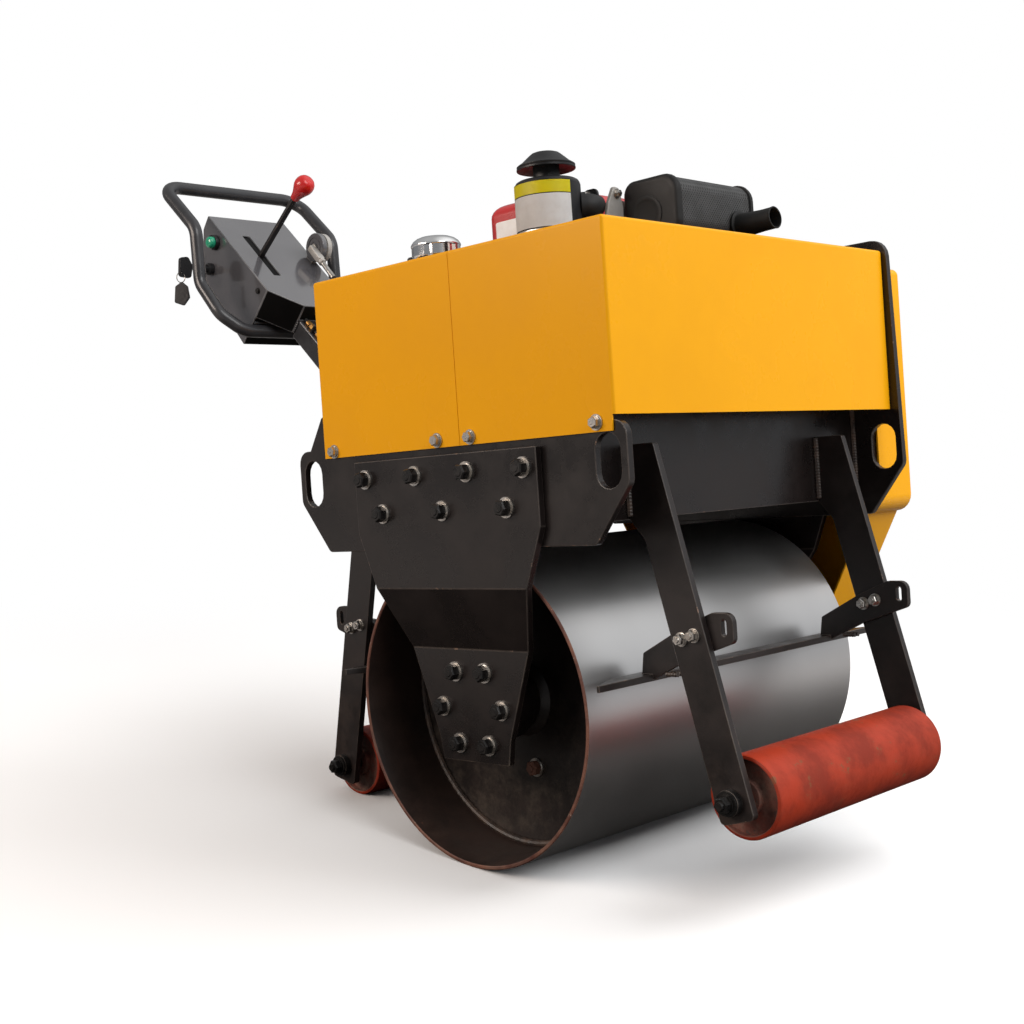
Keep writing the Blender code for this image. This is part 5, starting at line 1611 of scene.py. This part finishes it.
def make_tanks():
    low = Vector((-0.141, -0.096, 0.9553))
    high = low + Vector((0.186, 0.246, 0.122))

    def section(inset, z, radius=0.018):
        corners = [
            (low.x + inset, low.y + inset), (high.x - inset, low.y + inset),
            (high.x - inset, high.y - inset), (low.x + inset, high.y - inset)
        ]
        return [(x, y, z) for x, y in rounded(corners, (radius,) * 4, 7)]

    bend = 0.022
    rows = [
        section(0.012, low.z), section(0.003, low.z + 0.004), section(0.0, low.z + 0.012),
        section(0.0, low.z + 0.050)
    ]
    rows += [section(0.0, low.z + 0.0505), section(0.0, high.z - bend)]
    rows += [
        section(bend * (1 - cos(a)), high.z - bend * (1 - sin(a)))
        for a in (0.26, 0.52, 0.78, 1.05, 1.3, 1.5708)
    ]
    seam = loft(
        [
            section(inset, low.z + z, 0.019)
            for inset, z in ((0.001, 0.046), (-0.0028, 0.0465), (-0.0028, 0.0492), (0.001, 0.0497))
        ]
    )
    body = loft(rows)
    piece("fuel_tank_shell", together(body, seam), "red", "chassis", ("fuel_tank",), crease=34)
    label = plate(
        [rounded([(-0.120, 1.012), (0.015, 1.012), (0.015, 1.046), (-0.120, 1.046)], (0.004,) * 4, 4)],
        low.y - 0.0004, low.y + 0.0002
    )
    lower = plate(
        [rounded([(-0.120, 0.968), (0.015, 0.968), (0.015, 0.996), (-0.120, 0.996)], (0.004,) * 4, 4)],
        low.y - 0.0004, low.y + 0.0002
    )
    piece(
        "fuel_tank_label", together(label, lower), "label_white", "chassis", slot="gloss_red",
        weigh=False
    )

    cap = [
        (0, 0), (0.0185, 0), (0.0185, 0.009), (0.0235, 0.0095), (0.0240, 0.011), (0.0238, 0.019),
        (0.0222, 0.0215), (0.0180, 0.0222), (0, 0.0222)
    ]
    shape = turned(cap, 72, "Z")
    for vert in shape.verts:
        if vert.co.xy.length > 0.0205 and 0.0105 < vert.co.z < 0.020:
            vert.co.xy *= 1 - 0.05 * max(0, cos(18 * atan2(vert.co.y, vert.co.x)))
    piece(
        "fuel_cap_moulding", moved(shape, (-0.050, -0.045, 1.0776)), "plastic", "chassis",
        ("fuel_cap",), crease=34
    )

    softened("hydraulic_tank", "frame frame_edge", 0.004)
    chrome = [
        (0, 0), (0.030, 0), (0.0305, 0.0015), (0.030, 0.005), (0.0215, 0.006), (0.021, 0.010),
        (0.021, 0.046),
        (0.0405, 0.0475), (0.0425, 0.0495), (0.0432, 0.0530), (0.0430, 0.0680), (0.0440, 0.0695),
        (0.0440, 0.0715),
        (0.0428, 0.0740), (0.0395, 0.0785), (0.0340, 0.0825), (0.0270, 0.0852), (0.0180, 0.0867),
        (0.009, 0.0872), (0, 0.0873),
    ]
    shape = turned(chrome, 120, "Z")
    for vert in shape.verts:
        if vert.co.xy.length > 0.0415 and 0.049 < vert.co.z < 0.069:
            vert.co.xy *= 1 - 0.045 * max(0.0, cos(6 * atan2(vert.co.y, vert.co.x))) ** 3
    piece(
        "breather_cap", moved(shape, (-0.218, -0.150, 0.9483)), "chrome", "chassis", ("tank_breather",),
        crease=40
    )
    plug = [
        (0, 0), (0.012, 0), (0.012, 0.006), (0.0085, 0.008), (0.0085, 0.044), (0.0112, 0.046),
        (0.0112, 0.054), (0.009, 0.0565), (0, 0.0565)
    ]
    gauge = disc(
        [(0, 0), (0.014, 0), (0.015, 0.002), (0.015, 0.008), (0.011, 0.010), (0, 0.010)],
        (-0.155, 0.120, 0.850), (1, 0, 0), 32
    )
    fitting = [disc(plug, (-0.262, -0.165, 0.948), (0, 0, 1), 28), gauge]
    for y in (-0.250, 0.020, 0.230):
        fitting.append(
            disc(
                [(0, 0), (0.017, 0), (0.017, 0.006), (0.012, 0.008), (0.012, 0.020), (0, 0.020)],
                (-0.155, y, 0.760), (1, 0, 0), 6
            )
        )
    piece(
        "hydraulic_tank_fittings", together(*fitting), "plastic", "chassis", slot="matte_black",
        crease=30
    )
    lines = []
    for y, x, z in ((-0.250, -0.085, 0.690), (0.020, -0.105, 0.700), (0.230, 0.020, 0.690)):
        way = [
            (-0.150, y, 0.760), (-0.118, y, 0.760), (-0.118, y, z - 0.02 * (y < 0)),
            (x, y * 0.7, z - 0.02 * (y < 0))
        ]
        lines.append(pipe(fillet_path(way, 0.020), 0.0075, 18))
    piece("hydraulic_pipes", together(*lines), "black_bolt", "chassis", slot="zinc", crease=50)


# ---------------------------------------------------------------- handle

FACE_ORIGIN = Vector((-0.984, 0, 1.215))
FACE_SLOPE = radians(44.0)
ALONG = Vector((cos(FACE_SLOPE), 0, -sin(FACE_SLOPE)))
INTO = Vector((-sin(FACE_SLOPE), 0, -cos(FACE_SLOPE)))
OUT = -INTO
FACE_LENGTH = 0.270
CONSOLE_HALF_WIDTH = 0.100
TUBE_RADIUS = 0.0135
THROTTLE = (0.143, 0.083)


def on_face(along, across, depth=0.0):
    """A point by its distance down the console's face, across it, and below its surface."""
    return FACE_ORIGIN + ALONG * along + INTO * depth + Vector((0, across, 0))


def make_handle():
    softened("handle_arm", "tube console_edge", 0.0018)
    box_shape = soften(node_copy("console"), 0.0022)
    # Faces turned forward and down under the console's nose take the near-black third finish: painted
    # shade where that end lies in shadow.
    forward = TURN @ ALONG
    for face in box_shape.faces:
        if face.material_index == 0 and face.normal.dot(forward) > 0.3:
            face.material_index = 2
    piece(
        "console_finished", box_shape, "console console_edge dark", "handle", ("console",), crease=26,
        drawn=False
    )
    side = [
        ((-0.050, 0.065), 0.178), ((0.068, -0.045), 0.178), ((0.071, -0.160), 0.178),
        ((0.118, -0.230), 0.166)
    ]
    corners = [FACE_ORIGIN + Vector((x, y, z)) for (x, z), y in side]
    cross = on_face(FACE_LENGTH, 0, 0.0945) + ALONG * (TUBE_RADIUS + 0.0006)
    corners.append(Vector((cross.x, CONSOLE_HALF_WIDTH + 0.025, cross.z)))
    near = [Vector((corner.x, -corner.y, corner.z)) for corner in corners]
    loop = pipe(
        fillet_path(near + corners[::-1], 0.045, closed=True, steps=12), TUBE_RADIUS, 28, closed=True
    )
    piece("handle_loop_tube", loop, "tube", "handle", ("handle_loop",), crease=60)
    for node in ("drive_cable", "throttle_cable"):
        piece(f"{node}_sleeve", node_copy(node), "rubber", "handle", (node,), crease=60, drawn=False)

    way = (on_face(0.3203, 0, 0.059) - PIVOT).normalized()
    up = Vector((way.z, 0, -way.x))
    fittings = []
    for y in (-0.016, 0.016):
        for along, size, mark in (
            (0.537, 0.0062, 0), (0.523, 0.0070, 0), (0.497, 0.0066, 0), (0.482, 0.0056, 1)
        ):
            spot = PIVOT + way * (along - 0.012) + up * (0.020 + 0.0045) + Vector((0, y, 0))
            shape = disc(
                [
                    (0, 0), (size - 0.001, 0), (size, 0.001), (size, 0.010), (size - 0.001, 0.011),
                    (0, 0.011)
                ],
                spot, way, 6 if size > 0.0065 else 24
            )
            fittings.append(painted(shape, mark))
    hanger = bar(
        PIVOT + way * 0.505 + up * 0.020, PIVOT + way * 0.505 + up * 0.038, 0.052, 0.003, 0.0008
    )
    clamp = bar(
        PIVOT + way * 0.300 + up * 0.020, PIVOT + way * 0.300 + up * 0.0305, 0.054, 0.014, 0.002
    )
    fittings += [painted(hanger, 2), painted(clamp, 2)]
    piece(
        "cable_fittings", together(*fittings), "brass rubber black_bolt", "handle", slot="zinc",
        crease=30
    )

    beads = [
        bead(on_face(0.3195, -0.031, 0.0385), on_face(0.3195, 0.031, 0.0385), 0.003),
        bead(on_face(0.3195, -0.0305, 0.042), on_face(0.3195, -0.0305, 0.068), 0.003),
        bead(
            on_face(FACE_LENGTH + 0.003, -0.098, 0.0815), on_face(FACE_LENGTH + 0.003, -0.055, 0.0815),
            0.0028
        ),
        bead(
            on_face(FACE_LENGTH + 0.003, 0.055, 0.0815), on_face(FACE_LENGTH + 0.003, 0.098, 0.0815),
            0.0028
        ),
    ]
    piece("handle_welds", together(*beads), "tube", "handle", slot="handle_grey", weigh=False)
    spots = [
        (on_face(0.246, -CONSOLE_HALF_WIDTH, 0.020), (0, -1, 0)),
        (on_face(0.246, -CONSOLE_HALF_WIDTH, 0.118), (0, -1, 0))
    ]
    spots += [
        (on_face(0.246, CONSOLE_HALF_WIDTH, 0.020), (0, 1, 0)),
        (on_face(0.246, CONSOLE_HALF_WIDTH, 0.118), (0, 1, 0))
    ]
    spots += [(on_face(0.040, side * CONSOLE_HALF_WIDTH, 0.030), (0, side, 0)) for side in (-1, 1)]
    hardware("console_screws", spots)


def make_controls():
    way = Vector((0.157, 0, 0.118)).normalized()
    lean = Vector((0.174, 0.0, 0.100)).normalized()
    start = on_face(0.138, -0.040, 0.0117)
    tip = start + way * 0.173
    piece(
        "drive_lever_bar", bar(start, tip, 0.0125, 0.007, 0.0012), "plastic frame_edge", "handle",
        ("drive_lever",)
    )
    lining = box((0.0685, -0.0488, 0.0035), (0.2115, -0.0312, 0.0118), 0.0006)
    axes = Matrix((ALONG, (0, 1, 0), INTO)).transposed().to_4x4()
    bmesh.ops.transform(lining, matrix=Matrix.Translation(FACE_ORIGIN) @ axes, verts=lining.verts)
    piece("lever_gate", lining, "dark dark", "handle", slot="matte_black")
    knob = [
        (0, 0), (0.0088, 0), (0.0096, 0.0010), (0.0102, 0.006), (0.0118, 0.0130), (0.0146, 0.0205),
        (0.0176, 0.0275), (0.0199, 0.0335), (0.0208, 0.0395), (0.0203, 0.0455), (0.0184, 0.0510),
        (0.0152, 0.0555), (0.0110, 0.0585), (0.0056, 0.0599), (0, 0.0602),
    ]
    screw = disc(
        [(0, 0), (0.0022, 0), (0.0020, 0.0008), (0, 0.0010)],
        tip + way * 0.007 + Vector((0, -0.0094, 0)), (0, -1, 0), 16
    )
    piece(
        "lever_knob_moulding", together(disc(knob, tip - way * 0.001, lean, 56), painted(screw, 1)),
        "knob zinc", "handle", ("lever_knob",), crease=50
    )

    face_y = -CONSOLE_HALF_WIDTH - 0.0003
    button = Vector((-0.962, face_y, 1.153))
    ring = disc(
        [
            (0, 0), (0.0155, 0), (0.016, 0.0006), (0.016, 0.005), (0.0148, 0.0078), (0.0130, 0.008),
            (0.0128, 0.006), (0, 0.006)
        ],
        button, (0, -1, 0)
    )
    piece("button_ring", ring, "plastic", "handle", ("button_bezel",), crease=34)
    dome = disc(
        [
            (0, 0), (0.0122, 0), (0.0125, 0.0006), (0.0123, 0.0070), (0.0112, 0.0098), (0.0085, 0.0116),
            (0.004, 0.0124), (0, 0.0125)
        ],
        button + Vector((0, -0.0083, 0)), (0, -1, 0)
    )
    piece("button_dome", dome, "green", "handle", ("start_button",), crease=40)

    lock = Vector((-0.985, face_y, 1.100))
    barrel = disc(
        [
            (0, 0), (0.0125, 0), (0.013, 0.0006), (0.013, 0.009), (0.0105, 0.0118), (0.0092, 0.012),
            (0.009, 0.0245), (0.0082, 0.026), (0, 0.026)
        ],
        lock, (0, -1, 0)
    )
    piece("key_lock", barrel, "plastic", "handle", ("key_switch",), crease=34)
    end = lock + Vector((0, -0.026, 0))
    bow_outline = rounded(
        [(-0.016, -0.020), (0.012, -0.023), (0.018, 0.004), (0.008, 0.023), (-0.012, 0.020)],
        (0.007,) * 5, 5
    )
    bow = plate(
        [bow_outline, circle_points((-0.0115, -0.013), 0.0028, 14)], -0.0040, 0.0040, "X", 0.0012
    )
    bmesh.ops.transform(bow, matrix=Matrix.Translation(end + Vector((0, -0.040, 0))), verts=bow.verts)
    blade = box(end + Vector((-0.0011, -0.030, -0.004)), end + Vector((0.0011, 0.004, 0.004)), 0.0003)
    hang = end + Vector((0, -0.0515, -0.022))
    ring_points = [
        hang + Vector((0.004 * sin(a), 0.0075 * sin(a), 0.0105 * cos(a)))
        for a in (2 * pi * i / 40 for i in range(40))
    ]
    outline = [
        (-0.017, -0.052), (0.003, -0.060), (0.017, -0.044), (0.014, -0.020), (0.002, -0.009),
        (-0.013, -0.018)
    ]
    tag = plate([rounded(outline, (0.004,) * 6, 4)], -0.0035, 0.0035, edge=0.0012)
    turn = Matrix.Translation(hang) @ Matrix.Rotation(radians(35), 4, "Z")
    bmesh.ops.transform(tag, matrix=turn, verts=tag.verts)
    piece(
        "key_and_tag",
        together(pipe(ring_points, 0.0010, 8, closed=True), painted(bow, 1), blade, painted(tag, 1)),
        "zinc plastic", "handle", slot="matte_black", crease=40
    )

    along, across = THROTTLE
    centre = on_face(along, across, -0.0325)
    wheel = [
        (0, 0.0), (0.0085, 0.0), (0.0085, 0.0014), (0.0120, 0.0014), (0.0122, 0.0004), (0.0190, 0.0004),
        (0.0192, 0.0016),
        (0.0215, 0.0016), (0.0217, 0.0002), (0.0295, 0.0002), (0.0306, 0.0010), (0.0310, 0.0020),
        (0.0310, 0.0110),
        (0.0300, 0.0120), (0.0270, 0.0122), (0.0270, 0.0150), (0.0300, 0.0155), (0.0305, 0.0170),
        (0.0305, 0.0250),
        (0.0295, 0.0265), (0, 0.0265),
    ]
    shape = disc(wheel, centre, (0, 1, 0), 72, marks=[0] * 14 + [1] * 8)
    foot = box((-0.0115, 0.0005, 0.0003), (0.0115, 0.0115, 0.020), 0.001)
    axes = Matrix((ALONG, (0, 1, 0), OUT)).transposed().to_4x4()
    bmesh.ops.transform(
        foot, matrix=Matrix.Translation(on_face(along, across)) @ axes, verts=foot.verts
    )
    piece(
        "throttle_wheel", together(shape, foot), "console alloy", "handle", ("throttle_disc",),
        crease=34
    )
    stud = disc(
        [
            (0, 0), (0.0075, 0), (0.0075, 0.003), (0.0045, 0.0035), (0.0045, 0.009), (0.0035, 0.0100),
            (0, 0.0102)
        ],
        centre, (0, -1, 0), 24
    )
    first = on_face(along + 0.007, across - 0.0058, -0.030)
    last = on_face(along + 0.102, across - 0.0058, -0.024)
    line = (last - first).normalized()
    rod_parts = [
        stud, bar(first - line * 0.009, first + line * 0.036, 0.017, 0.015, 0.003),
        pipe([first + line * 0.030, last], 0.0054, 20)
    ]
    rod_parts.append(
        disc([(0, 0), (0.0085, 0), (0.0085, 0.008), (0, 0.008)], first + line * 0.0365, line, 6)
    )
    for shape in (rod_parts[1], rod_parts[3]):
        painted(shape, 1)
    rod_parts.append(
        disc([(0, 0), (0.0058, 0), (0.0058, 0.018), (0, 0.018)], last - line * 0.018, line, 20)
    )
    piece(
        "throttle_linkage", together(*rod_parts), "zinc alloy", "handle", ("throttle_rod",), crease=34
    )


make_engine()
make_engine_tops()
make_exhaust()
make_tanks()
make_handle()
make_controls()
